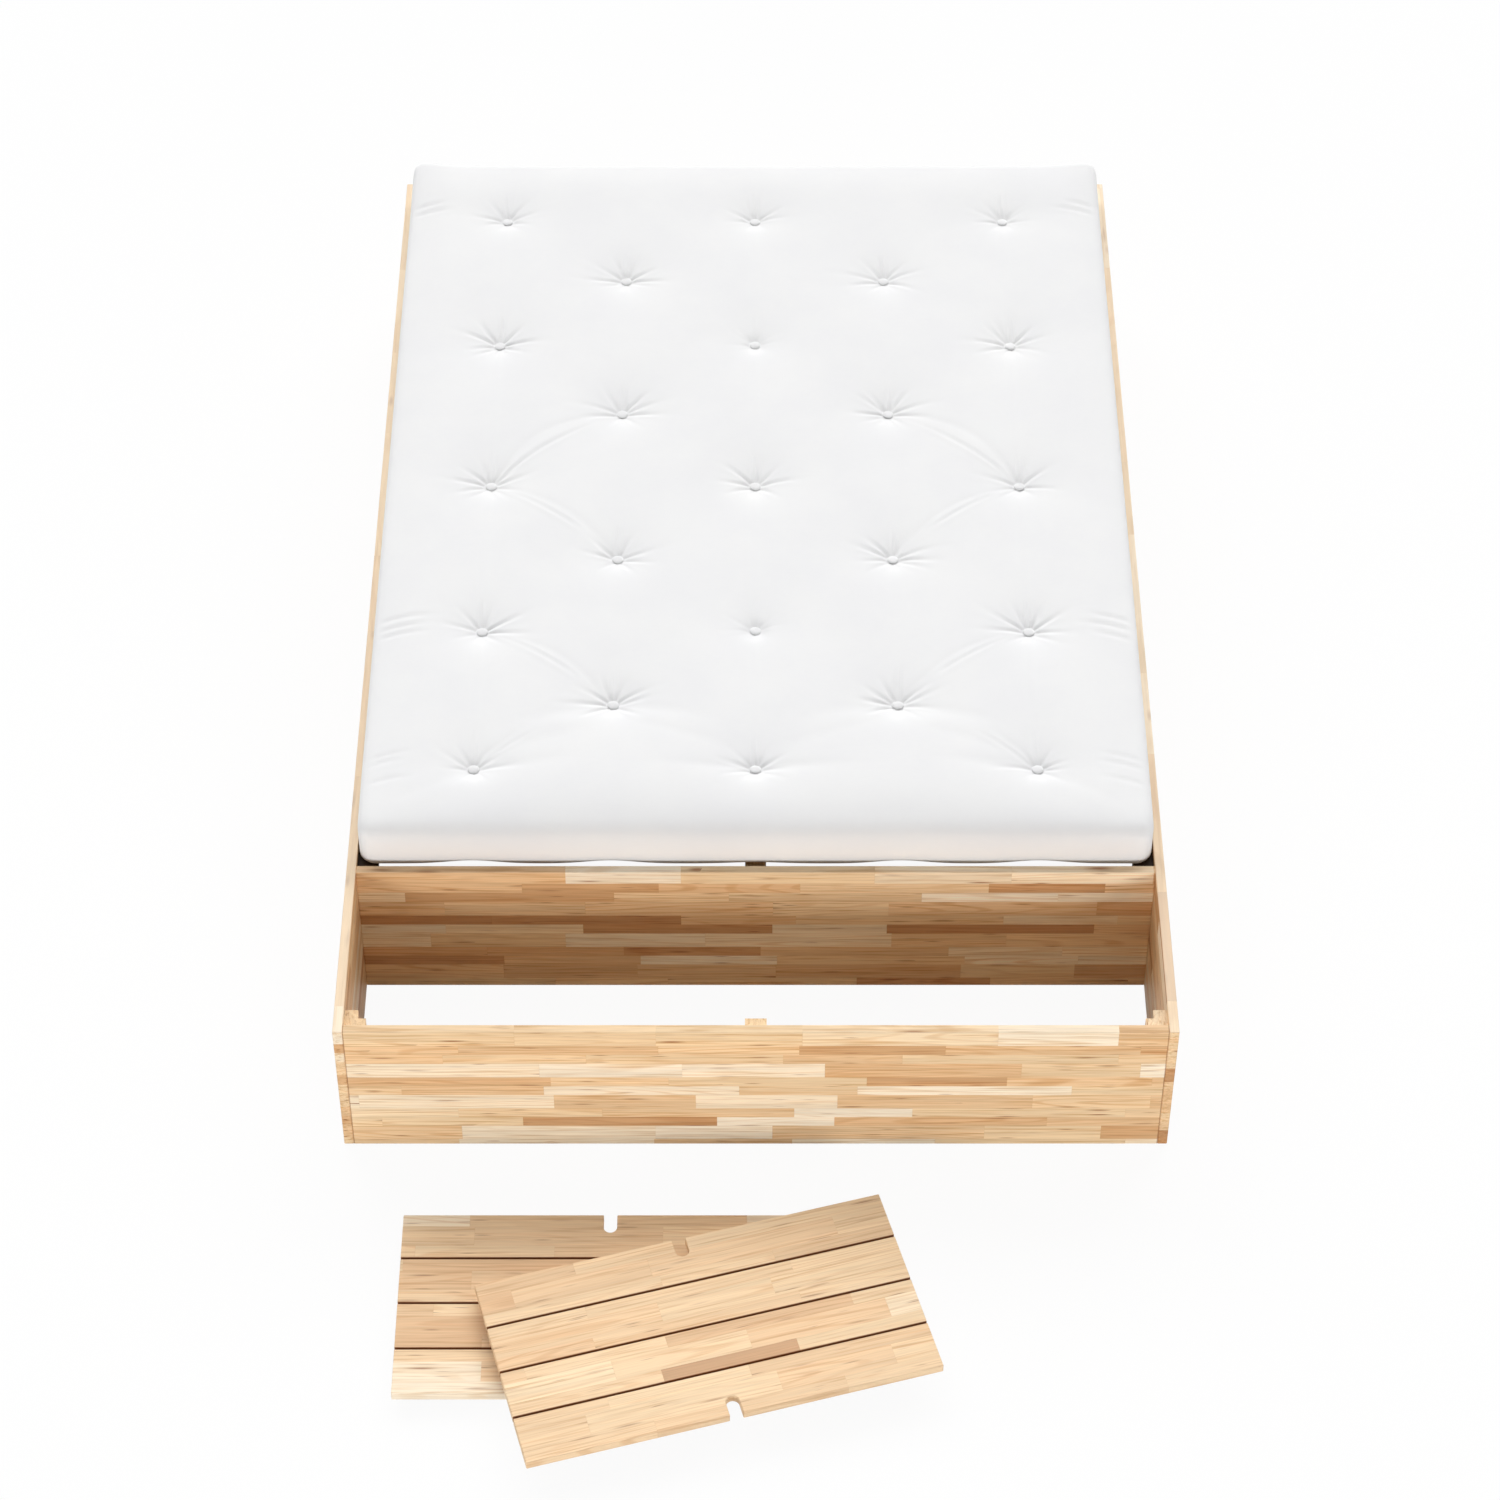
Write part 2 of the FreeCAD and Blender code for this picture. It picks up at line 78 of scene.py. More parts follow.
def soft_step(low: float, high: float, values: np.ndarray) -> np.ndarray:
    """Rises smoothly from 0 at low to 1 at high."""
    share = np.clip((values - low) / (high - low), 0.0, 1.0)
    return share * share * (3.0 - 2.0 * share)


def hump(start: float, full: float, fall: float, end: float, values: np.ndarray) -> np.ndarray:
    """Rises smoothly from 0 at start to 1 at full, and drops to 0 again between fall and end."""
    return soft_step(start, full, values) * (1.0 - soft_step(fall, end, values))


def bell(ratio: np.ndarray) -> np.ndarray:
    """Gives 1 at a ratio of 0, and less and less on both sides."""
    return np.exp(-(ratio**2))


def groove(ratio: np.ndarray) -> np.ndarray:
    """Gives 1 at a ratio of 0, and a small lip below 0 on both sides."""
    return (1.0 - ratio**2) * bell(ratio)


def furrow(ratio: np.ndarray, along: np.ndarray, start: Pair, share: float, length: float) -> np.ndarray:
    """Gives a groove that deepens over its start, and runs out after this share of its length."""
    return hump(*start, share * length, length, along) * groove(ratio)


# Modelling helpers
class MeshPart(Enum):
    """What is selected in edit mode, with Blender's name for all of them in a mesh."""

    EDGE = "edges"
    FACE = "polygons"


def select_only(*pieces: Piece) -> None:
    """Selects some objects alone and makes the first one active.

    Args:
        pieces: the objects.
    """
    bpy.ops.object.select_all(action="DESELECT")
    for piece in pieces:
        piece.select_set(True)
    bpy.context.view_layer.objects.active = pieces[0]


def add_object(name: str, data: bpy.types.ID) -> Piece:
    """Puts an object into the scene.

    Args:
        name: the object's name.
        data: its mesh, light or camera.

    Returns:
        The new object.
    """
    piece = bpy.data.objects.new(name, data)
    bpy.context.scene.collection.objects.link(piece)
    return piece


def edit_selected(piece: Piece, part: MeshPart, wanted: np.ndarray) -> None:
    """Goes into edit mode with some edges or faces selected.

    Args:
        piece: the active object.
        part: whether edges or faces are selected.
        wanted: one true or false for each edge or face.
    """
    bpy.ops.object.mode_set(mode="EDIT")
    bpy.ops.mesh.select_mode(type=part.name)
    bpy.ops.mesh.select_all(action="DESELECT")
    bpy.ops.object.mode_set(mode="OBJECT")
    getattr(piece.data, part.value).foreach_set("select", wanted)
    bpy.ops.object.mode_set(mode="EDIT")


def smooth_once(piece: Piece) -> None:
    """Rounds a piece off by one level of subdivision.

    Args:
        piece: the object, which becomes the active one.
    """
    select_only(piece)
    smooth = piece.modifiers.new("smooth", "SUBSURF")
    smooth.levels = 1
    smooth.render_levels = 1
    bpy.ops.object.modifier_apply(modifier="smooth")


def read_rows(items: bpy.types.bpy_prop_collection, key: str) -> np.ndarray:
    """Gives three numbers of each vertex or face of a mesh.

    Args:
        items: the vertices or faces.
        key: Blender's name for the numbers.

    Returns:
        A row of three numbers for each vertex or face.
    """
    flat = np.empty(len(items) * 3, np.float32)
    items.foreach_get(key, flat)
    return flat.reshape(-1, 3).astype(float)


def read_points(mesh: bpy.types.Mesh) -> np.ndarray:
    """Gives a mesh's vertices as rows of three numbers."""
    return read_rows(mesh.vertices, "co")


def write_points(mesh: bpy.types.Mesh, points: np.ndarray) -> None:
    """Puts a mesh's vertices at the given places."""
    mesh.vertices.foreach_set("co", points.astype(np.float32).ravel())
    mesh.update()


def edge_heights(mesh: bpy.types.Mesh) -> np.ndarray:
    """Gives the heights of both ends of each edge of a mesh."""
    ends = np.array([tuple(edge.vertices) for edge in mesh.edges])
    return read_points(mesh)[ends, 2]


def node_box(name: str) -> tuple[np.ndarray, np.ndarray]:
    """Gives the lowest and the highest corner of the box round a CAD node."""
    points = read_points(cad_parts[name].data)
    return points.min(axis=0), points.max(axis=0)


def node_middle(name: str) -> np.ndarray:
    """Gives the middle of the box round a CAD node."""
    low, high = node_box(name)
    return (low + high) / 2


# Shader helpers
class Wiring:
    """Adds nodes to one node tree and links them."""

    SPACING = 40.0

    def __init__(self, tree: bpy.types.NodeTree) -> None:
        """Keeps the tree that the nodes go into."""
        self.tree = tree

    @classmethod
    def start(cls, owner: bpy.types.Material | bpy.types.World) -> "Wiring":
        """Empties the node tree of a material or a world.

        Args:
            owner: the material or the world.

        Returns:
            The wiring of its nodes.
        """
        owner.use_nodes = True
        owner.node_tree.nodes.clear()
        return cls(owner.node_tree)

    def add(self, kind: str, sources: Sources | None = None, **settings: object) -> bpy.types.Node:
        """Adds a node.

        Args:
            kind: Blender's name for the node.
            sources: an output to link or a value to set, by the input's name or number.
            settings: the node's own properties.

        Returns:
            The new node.
        """
        node = self.tree.nodes.new(kind)
        node.location = (self.SPACING * len(self.tree.nodes), 0.0)
        for name, setting in settings.items():
            setattr(node, name, setting)
        for key, source in (sources or {}).items():
            if isinstance(source, Socket):
                self.tree.links.new(source, node.inputs[key])
            else:
                node.inputs[key].default_value = source
        return node

    def place(self) -> Socket:
        """Gives a point's place in its object's own frame."""
        return self.add("ShaderNodeTexCoord").outputs["Object"]

    def math(self, operation: str, *terms: Source) -> Socket:
        """Works one number out of others by the operation of that name."""
        return self.add("ShaderNodeMath", dict(enumerate(terms)), operation=operation).outputs[0]

    def vector(self, operation: str, first: Source, second: Source) -> Socket:
        """Works one vector out of two by the operation of that name."""
        return self.add("ShaderNodeVectorMath", {0: first, 1: second}, operation=operation).outputs[0]

    def scaled(self, colour: Source, amount: Source) -> Socket:
        """Makes a colour brighter or darker by an amount."""
        return self.add("ShaderNodeVectorMath", {0: colour, "Scale": amount}, operation="SCALE").outputs[0]

    def split(self, vector: Source) -> tuple[Socket, ...]:
        """Gives the three numbers of a vector."""
        return tuple(self.add("ShaderNodeSeparateXYZ", {0: vector}).outputs)

    def join(self, *parts: Source) -> Socket:
        """Makes a vector of three numbers."""
        return self.add("ShaderNodeCombineXYZ", dict(enumerate(parts))).outputs[0]

    def noise(self, place: Source, density: Triple, detail: float = 2.0, roughness: float = 0.5) -> Socket:
        """Gives a cloudy number between 0 and 1.

        Args:
            place: where it is looked up.
            density: clouds in a metre each way.
            detail, roughness: how many finer clouds there are, and how strong they are.

        Returns:
            The output with the number.
        """
        vector = self.vector("MULTIPLY", place, density)
        sources = {"Vector": vector, "Scale": 1.0, "Detail": detail, "Roughness": roughness}
        return self.add("ShaderNodeTexNoise", sources).outputs[0]

    def dice(self, *parts: Source) -> bpy.types.NodeOutputs:
        """Throws the same dice, a value and a colour, for the same three numbers."""
        place = self.join(*parts)
        return self.add("ShaderNodeTexWhiteNoise", {"Vector": place}, noise_dimensions="3D").outputs

    def mix(self, share: Source, first: Source, second: Source, blend: str = "MIX") -> Socket:
        """Mixes a share of the second colour into the first by the blend of that name."""
        sources = {0: share, 6: first, 7: second}
        return self.add("ShaderNodeMix", sources, data_type="RGBA", blend_type=blend).outputs[2]

    def range(self, value: Source, low: float, high: float, start: float, end: float) -> Socket:
        """Takes a number between low and high smoothly to one between start and end."""
        sources = dict(enumerate((value, low, high, start, end)))
        return self.add("ShaderNodeMapRange", sources, interpolation_type="SMOOTHSTEP").outputs[0]

    def ramp(self, value: Source, stops: Iterable[tuple[float, Colour]]) -> Socket:
        """Takes a number to a colour between stops.

        Args:
            value: the number, from 0 to 1.
            stops: places and colours, in order.

        Returns:
            The output with the colour.
        """
        node = self.add("ShaderNodeValToRGB", {0: value})
        elements = node.color_ramp.elements
        for index, (place, colour) in enumerate(stops):
            element = elements[index] if index < 2 else elements.new(place)
            element.position = place
            element.color = colour
        return node.outputs[0]

    def bump(self, height: Source, strength: float, distance: float) -> Socket:
        """Gives the normal of a surface with fine relief."""
        sources = {"Height": height, "Strength": strength, "Distance": distance}
        return self.add("ShaderNodeBump", sources).outputs[0]

    def blend(self, share: Source, first: Socket, second: Socket) -> Socket:
        """Mixes a share of the second shader into the first."""
        return self.add("ShaderNodeMixShader", {0: share, 1: first, 2: second}).outputs[0]


class NodeGroup:
    """A shader node group that takes a place and some numbers."""

    NAME: str
    INPUTS: dict[str, float]
    OUTPUTS: dict[str, str]

    @classmethod
    def get(cls) -> bpy.types.NodeTree:
        """Gives the group, built the first time."""
        return bpy.data.node_groups.get(cls.NAME) or cls.build()

    @classmethod
    def build(cls) -> bpy.types.NodeTree:
        """Builds the group.

        Returns:
            The new node group.
        """
        tree = bpy.data.node_groups.new(cls.NAME, "ShaderNodeTree")
        tree.interface.new_socket(name="Place", in_out="INPUT", socket_type="NodeSocketVector")
        for name, start in cls.INPUTS.items():
            socket = tree.interface.new_socket(name=name, in_out="INPUT", socket_type="NodeSocketFloat")
            socket.default_value = start
        for name, kind in cls.OUTPUTS.items():
            tree.interface.new_socket(name=name, in_out="OUTPUT", socket_type=kind)
        wiring = Wiring(tree)
        given = wiring.add("NodeGroupInput").outputs
        wiring.add("NodeGroupOutput", cls.wire(wiring, given))
        return tree

    @classmethod
    def wire(cls, wiring: Wiring, given: bpy.types.NodeOutputs) -> Sources:
        """Adds the nodes that work out what the group gives from what it is given."""
        raise NotImplementedError


# Finishes
class Grain(Enum):
    """Which of X, Y and Z run along the grain, across the staves and through the wood."""

    ACROSS_BED = (0, 2, 1)
    ALONG_BED = (1, 2, 0)
    LYING_ACROSS = (0, 1, 2)
    LYING_ALONG = (1, 0, 2)
    UPRIGHT = (2, 0, 1)


class StaveGroup(NodeGroup):
    """Node group of glued staves: rows of short pieces, each with its own tone, rings and fibres."""

    NAME = "glued_staves"
    INPUTS = {
        "seed": 1.0,
        "stave_length": 0.3,
        "stave_height": 0.03,
        "row_shift": 0.0,
        "tone_middle": 0.5,
        "tone_spread": 1.0,
        "gap_pitch": 1.0,
        "gap_shade": 0.0,
        "edge_level": 10.0,
        "edge_share": 0.3,
        "end_level": 10.0,
        "stain": 0.0,
    }
    OUTPUTS = {"Color": "NodeSocketColor", "Roughness": "NodeSocketFloat", "Height": "NodeSocketFloat"}
    TONES = (
        (0.00, linear(254, 238, 213)),
        (0.15, linear(253, 233, 203)),
        (0.22, linear(246, 217, 176)),
        (0.50, linear(242, 208, 165)),
        (0.78, linear(236, 197, 152)),
        (0.90, linear(222, 177, 130)),
        (1.00, linear(199, 149, 103)),
    )
    STREAK_SHADE = (0.78, 0.66, 0.52, 1.0)
    RING_SHADE = (0.86, 0.76, 0.65, 1.0)
    KNOT = linear(150, 88, 44)
    GLUE_SHADE = (0.86, 0.79, 0.70, 1.0)
    EDGE = linear(250, 232, 207)
    # Painted shade in the gaps between lid planks, also the colour of the dark joint lines at the board ends
    PAINTED_GAP_SHADE_AND_JOINT = linear(126, 64, 16)
    # Near black that a piece is coloured towards by its blackening share
    NEAR_BLACK = linear(24, 14, 9)
    END_SHARE = 0.55

    # How unlike rows and staves are, and how far apart their dice are thrown
    ROW_TURN = math.tau / 3
    ROW_SWING = 0.15
    ROW_DICE = 3.7
    COLUMN_TURN = 2.7
    COLUMN_SWING = 0.17
    COLUMN_THROW = 9.0
    STAVE_THROW = (20.0, 20.0, 20.0)

    # Clouds or cells in a metre along, across and through the wood
    BANDS = (1.4, 38.0, 20.0)
    STREAKS = (5.0, 230.0, 90.0)
    FIBRES = (12.0, 600.0, 300.0)
    SWIRLS = (1.3, 19.0, 6.0)
    KNOTS = (12.0, 100.0, 50.0)
    DASHES = (18.0, 270.0, 60.0)
    KNOT_RARITY = 0.83
    DASH_RARITY = 0.955
    RING_TURNS = 84.0

    # Curves: the range that a number comes from, and the range that it is taken to
    BAND_LIGHT = (0.25, 0.75, 0.91, 1.08)
    FIBRE_LIGHT = (0.25, 0.75, 0.92, 1.06)
    STREAK_DEPTH = (0.48, 0.72, 0.0, 0.9)
    RING_DEPTH = (0.25, 1.0, 0.0, 1.0)
    RINGED_BANDS = (0.35, 0.75, 0.2, 1.0)
    KNOTTED_STREAKS = (0.42, 0.60, 0.1, 1.0)
    FLECK_DEPTH = (0.02, 0.45, 0.9, 0.0)
    ROW_GLUE = (0.0, 0.0009, 0.45, 0.0)
    END_GLUE = (0.0, 0.0011, 0.35, 0.0)
    PAINTED_GAP_SHADE_CURVE = (0.0018, 0.0036, 1.0, 0.0)
    STREAK_ROUGHNESS = (0.2, 0.8, 0.47, 0.60)

    # How much smoother knots are, and how much lower rings and glue lines lie
    KNOT_POLISH = -0.06
    RING_SINK = -0.35
    GLUE_SINK = -0.8

    @classmethod
    def flecks(cls, wiring: Wiring, place: Source, density: Triple, rarity: float) -> Socket:
        """Scatters soft flecks.

        Args:
            wiring: the group's wiring.
            place: where along, across and through the wood.
            density: cells in a metre each way.
            rarity: share of the cells that stay empty.

        Returns:
            The output that is near 1 in the middle of a fleck and 0 outside.
        """
        sources = {"Vector": wiring.vector("MULTIPLY", place, density), "Scale": 1.0}
        cells = wiring.add("ShaderNodeTexVoronoi", sources, feature="F1", distance="EUCLIDEAN").outputs
        rare = wiring.math("GREATER_THAN", wiring.split(cells["Color"])[0], rarity)
        return wiring.math("MULTIPLY", wiring.range(cells["Distance"], *cls.FLECK_DEPTH), rare)

    @staticmethod
    def uneven(wiring: Wiring, even: Source, turn: float, swing: float) -> Socket:
        """Makes even steps unlike each other by a wave of that turn and swing."""
        wave = wiring.math("SINE", wiring.math("MULTIPLY", even, turn))
        return wiring.math("MULTIPLY_ADD", wave, swing, even)

    @classmethod
    def wire(cls, wiring: Wiring, given: bpy.types.NodeOutputs) -> Sources:
        """Adds the nodes of the staves.

        Args:
            wiring: the group's wiring.
            given: the place and the numbers that the group takes.

        Returns:
            The wood's colour, roughness and height.
        """
        along, across, _ = wiring.split(given["Place"])

        # Rows of unlike height, and staves of unlike length in each row
        even_row = wiring.math("DIVIDE", across, given["stave_height"])
        even_row = wiring.math("ADD", even_row, given["row_shift"])
        row_place = cls.uneven(wiring, even_row, cls.ROW_TURN, cls.ROW_SWING)
        row = wiring.math("FLOOR", row_place)
        row_dice = wiring.dice(row, given["seed"], cls.ROW_DICE)
        even_column = wiring.math("DIVIDE", along, given["stave_length"])
        even_column = wiring.math("MULTIPLY_ADD", row_dice["Value"], cls.COLUMN_THROW, even_column)
        column_place = cls.uneven(wiring, even_column, cls.COLUMN_TURN, cls.COLUMN_SWING)
        column = wiring.math("FLOOR", column_place)
        stave_dice = wiring.dice(row, column, given["seed"])

        # Each stave's own tone
        tone = wiring.math("SUBTRACT", stave_dice["Value"], 0.5)
        tone = wiring.math("MULTIPLY_ADD", tone, given["tone_spread"], given["tone_middle"])
        colour = wiring.ramp(tone, cls.TONES)

        # Bands, streaks, fibres and growth rings, drawn out along the grain
        throw = wiring.vector("MULTIPLY", stave_dice["Color"], cls.STAVE_THROW)
        place = wiring.vector("ADD", given["Place"], throw)
        bands = wiring.noise(place, cls.BANDS, detail=1.5)
        streaks = wiring.noise(place, cls.STREAKS, roughness=0.6)
        fibres = wiring.noise(place, cls.FIBRES)
        swirls = wiring.noise(place, cls.SWIRLS, detail=0.6)
        rings = wiring.math("SINE", wiring.math("MULTIPLY", swirls, cls.RING_TURNS))
        rings = wiring.range(rings, *cls.RING_DEPTH)
        rings = wiring.math("MULTIPLY", rings, wiring.range(bands, *cls.RINGED_BANDS))
        colour = wiring.scaled(colour, wiring.range(bands, *cls.BAND_LIGHT))
        colour = wiring.scaled(colour, wiring.range(fibres, *cls.FIBRE_LIGHT))
        colour = wiring.mix(wiring.range(streaks, *cls.STREAK_DEPTH), colour, cls.STREAK_SHADE, "MULTIPLY")
        colour = wiring.mix(rings, colour, cls.RING_SHADE, "MULTIPLY")

        # Pin knots and thin dark dashes in a few places
        knots = cls.flecks(wiring, place, cls.KNOTS, cls.KNOT_RARITY)
        knots = wiring.math("MULTIPLY", knots, wiring.range(streaks, *cls.KNOTTED_STREAKS))
        knots = wiring.math("MAXIMUM", knots, cls.flecks(wiring, place, cls.DASHES, cls.DASH_RARITY))
        colour = wiring.mix(knots, colour, cls.KNOT)

        # Thin glue lines between rows and at stave ends
        row_edge, stave_end = (
            wiring.math("MULTIPLY", wiring.math("PINGPONG", steps, 0.5), given[size])
            for steps, size in ((row_place, "stave_height"), (column_place, "stave_length"))
        )
        row_glue = wiring.range(row_edge, *cls.ROW_GLUE)
        glue = wiring.math("MAXIMUM", row_glue, wiring.range(stave_end, *cls.END_GLUE))
        colour = wiring.mix(glue, colour, cls.GLUE_SHADE, "MULTIPLY")

        # Paler sanded edge on top
        edge = wiring.math("GREATER_THAN", across, given["edge_level"])
        colour = wiring.mix(wiring.math("MULTIPLY", edge, given["edge_share"]), colour, cls.EDGE)

        # Painted shade on the edges in the gaps between four planks, but not round the outside, and dark
        # joint lines at the board's ends
        half_pitch = wiring.math("MULTIPLY", given["gap_pitch"], 0.5)
        gap = wiring.range(wiring.math("PINGPONG", across, half_pitch), *cls.PAINTED_GAP_SHADE_CURVE)
        outer_plank = wiring.math("MULTIPLY", half_pitch, 3.0)
        inside = wiring.math("LESS_THAN", wiring.math("ABSOLUTE", across), outer_plank)
        gap = wiring.math("MULTIPLY", wiring.math("MULTIPLY", gap, inside), given["gap_shade"])
        end = wiring.math("GREATER_THAN", wiring.math("ABSOLUTE", along), given["end_level"])
        gap = wiring.math("MAXIMUM", gap, wiring.math("MULTIPLY", end, cls.END_SHARE))
        colour = wiring.mix(gap, colour, cls.PAINTED_GAP_SHADE_AND_JOINT)

        roughness = wiring.range(streaks, *cls.STREAK_ROUGHNESS)
        height = wiring.math("MULTIPLY_ADD", rings, cls.RING_SINK, fibres)
        return {
            "Color": wiring.mix(given["stain"], colour, cls.NEAR_BLACK),
            "Roughness": wiring.math("MULTIPLY_ADD", knots, cls.KNOT_POLISH, roughness),
            "Height": wiring.math("MULTIPLY_ADD", glue, cls.GLUE_SINK, height),
        }


class WeaveGroup(NodeGroup):
    """Node group of a plain weave: threads over and under each other, with an uneven shade."""

    NAME = "plain_weave"
    INPUTS = {"thread": 0.0016}
    OUTPUTS = {"Height": "NodeSocketFloat", "Shade": "NodeSocketFloat"}
    WARP_LEAN = 0.35
    SLUBS = (60.0, 420.0, 420.0)
    SLUB_HEIGHT = 0.7
    SLUB_SHADE = 0.35
    CLOUDS = (7.0, 7.0, 7.0)

    @classmethod
    def wire(cls, wiring: Wiring, given: bpy.types.NodeOutputs) -> Sources:
        """Adds the nodes of the weave.

        Args:
            wiring: the group's wiring.
            given: the place and the width of a thread.

        Returns:
            The cloth's height and shade.
        """
        across, along, up = wiring.split(given["Place"])
        turns = wiring.math("DIVIDE", math.tau / 2, given["thread"])
        warp = wiring.math("MULTIPLY", wiring.math("MULTIPLY_ADD", up, cls.WARP_LEAN, across), turns)
        weft = wiring.math("MULTIPLY", wiring.math("ADD", along, up), turns)
        crossing = wiring.math("MULTIPLY", wiring.math("SINE", warp), wiring.math("SINE", weft))
        slubs = wiring.noise(given["Place"], cls.SLUBS)
        clouds = wiring.noise(given["Place"], cls.CLOUDS, detail=3.0)
        return {
            "Height": wiring.math("MULTIPLY_ADD", slubs, cls.SLUB_HEIGHT, wiring.math("ABSOLUTE", crossing)),
            "Shade": wiring.math("MULTIPLY_ADD", slubs, cls.SLUB_SHADE, clouds),
        }


@dataclass(frozen=True)
class Finish:
    """What a piece is made of."""

    name: str

    def material(self) -> bpy.types.Material:
        """Builds the finish.

        Returns:
            The new material.
        """
        material = bpy.data.materials.new(self.name)
        wiring = Wiring.start(material)
        shader = wiring.add("ShaderNodeBsdfPrincipled", self.inputs(wiring))
        wiring.add("ShaderNodeOutputMaterial", {"Surface": shader.outputs[0]})
        return material

    def inputs(self, wiring: Wiring) -> Sources:
        """Works out what the shader's inputs take."""
        raise NotImplementedError


@dataclass(frozen=True)
class StaveFinish(Finish):
    """Oiled wood of glued staves, or of one piece where a stave is larger than the piece."""

    grain: Grain
    seed: float
    stave_length: float = 0.30
    stave_height: float = 0.0306
    row_shift: float = 0.0
    tone_middle: float = 0.5
    tone_spread: float = 1.0
    centre: Triple = (0.0, 0.0, 0.0)
    turn: float = 0.0
    gap_pitch: float = 1.0
    gap_shade: float = 0.0
    edge_level: float = 10.0
    edge_share: float = 0.3
    end_level: float = 10.0
    stain: float = 0.0
    shine: float = 0.15
    relief: float = 0.35
    relief_height: float = 0.0006

    def inputs(self, wiring: Wiring) -> Sources:
        """Lays the staves out along the piece's grain.

        Args:
            wiring: the material's wiring.

        Returns:
            What the shader's inputs take.
        """
        turn = (0.0, 0.0, math.radians(self.turn))
        sources = {"Vector": wiring.place(), "Location": self.centre, "Rotation": turn}
        axes = wiring.split(wiring.add("ShaderNodeMapping", sources, vector_type="TEXTURE").outputs[0])
        sources = {name: getattr(self, name) for name in StaveGroup.INPUTS}
        sources["Place"] = wiring.join(*(axes[axis] for axis in self.grain.value))
        staves = wiring.add("ShaderNodeGroup", sources, node_tree=StaveGroup.get()).outputs
        return {
            "Base Color": staves["Color"],
            "Roughness": staves["Roughness"],
            "Specular IOR Level": self.shine,
            "Normal": wiring.bump(staves["Height"], self.relief, self.relief_height),
        }


@dataclass(frozen=True)
class ClothFinish(Finish):
    """Plain-woven cloth."""

    pale: Colour
    dull: Colour
    thread: float
    relief: float
    relief_height: float = 0.0003
    shine: float = 0.25

    def inputs(self, wiring: Wiring) -> Sources:
        """Weaves the cloth.

        Args:
            wiring: the material's wiring.

        Returns:
            What the shader's inputs take.
        """
        sources = {"Place": wiring.place(), "thread": self.thread}
        weave = wiring.add("ShaderNodeGroup", sources, node_tree=WeaveGroup.get()).outputs
        shade = wiring.range(weave["Shade"], 0.4, 0.95, 0.0, 1.0)
        return {
            "Base Color": wiring.mix(shade, self.pale, self.dull),
            "Roughness": wiring.range(weave["Height"], 0.0, 1.5, 0.97, 0.86),
            "Specular IOR Level": self.shine,
            "Normal": wiring.bump(weave["Height"], self.relief, self.relief_height),
        }


@dataclass(frozen=True)
class SteelFinish(Finish):
    """Zinc-plated steel of the bolts."""

    name: str = "plated_steel"
    spangles: Triple = (260.0, 260.0, 260.0)
    dull: Colour = linear(176, 178, 180)
    bright: Colour = linear(214, 213, 208)

    def inputs(self, wiring: Wiring) -> Sources:
        """Scatters the spangles of the plating.

        Args:
            wiring: the material's wiring.

        Returns:
            What the shader's inputs take.
        """
        spangle = wiring.noise(wiring.place(), self.spangles, detail=3.0)
        return {
            "Base Color": wiring.mix(spangle, self.dull, self.bright),
            "Roughness": wiring.range(spangle, 0.2, 0.8, 0.26, 0.48),
            "Metallic": 1.0,
        }


COVER_CLOTH = ClothFinish("cotton_cover", linear(242, 242, 242), linear(239, 239, 240), 0.0016, 0.25)
BUTTON_CLOTH = ClothFinish("button_cotton", linear(242, 242, 242), linear(236, 236, 237), 0.0011, 0.3)
WEBBING = ClothFinish("slat_webbing", linear(206, 199, 184), linear(176, 168, 152), 0.0024, 0.9)
ONE_PIECE = {"stave_length": 5.0, "stave_height": 0.5}


def clothe(piece: Piece, finish: Finish) -> None:
    """Gives a modelled piece its finish.

    Args:
        piece: the piece.
        finish: what it is made of.
    """
    piece.data.materials.clear()
    piece.data.materials.append(finish.material())
    LOG.info("built %s with %d faces", piece.name, len(piece.data.polygons))


def dress(nodes: Iterable[str], finish: Finish) -> None:
    """Gives CAD nodes a finish.

    Args:
        nodes: the names of the nodes.
        finish: what they are made of.
    """
    material = finish.material()
    for name in nodes:
        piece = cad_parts[name]
        if piece.material_slots:
            piece.material_slots[0].material = material
        else:
            piece.data.materials.append(material)
        LOG.info("dressed %s in %s", name, material.name)


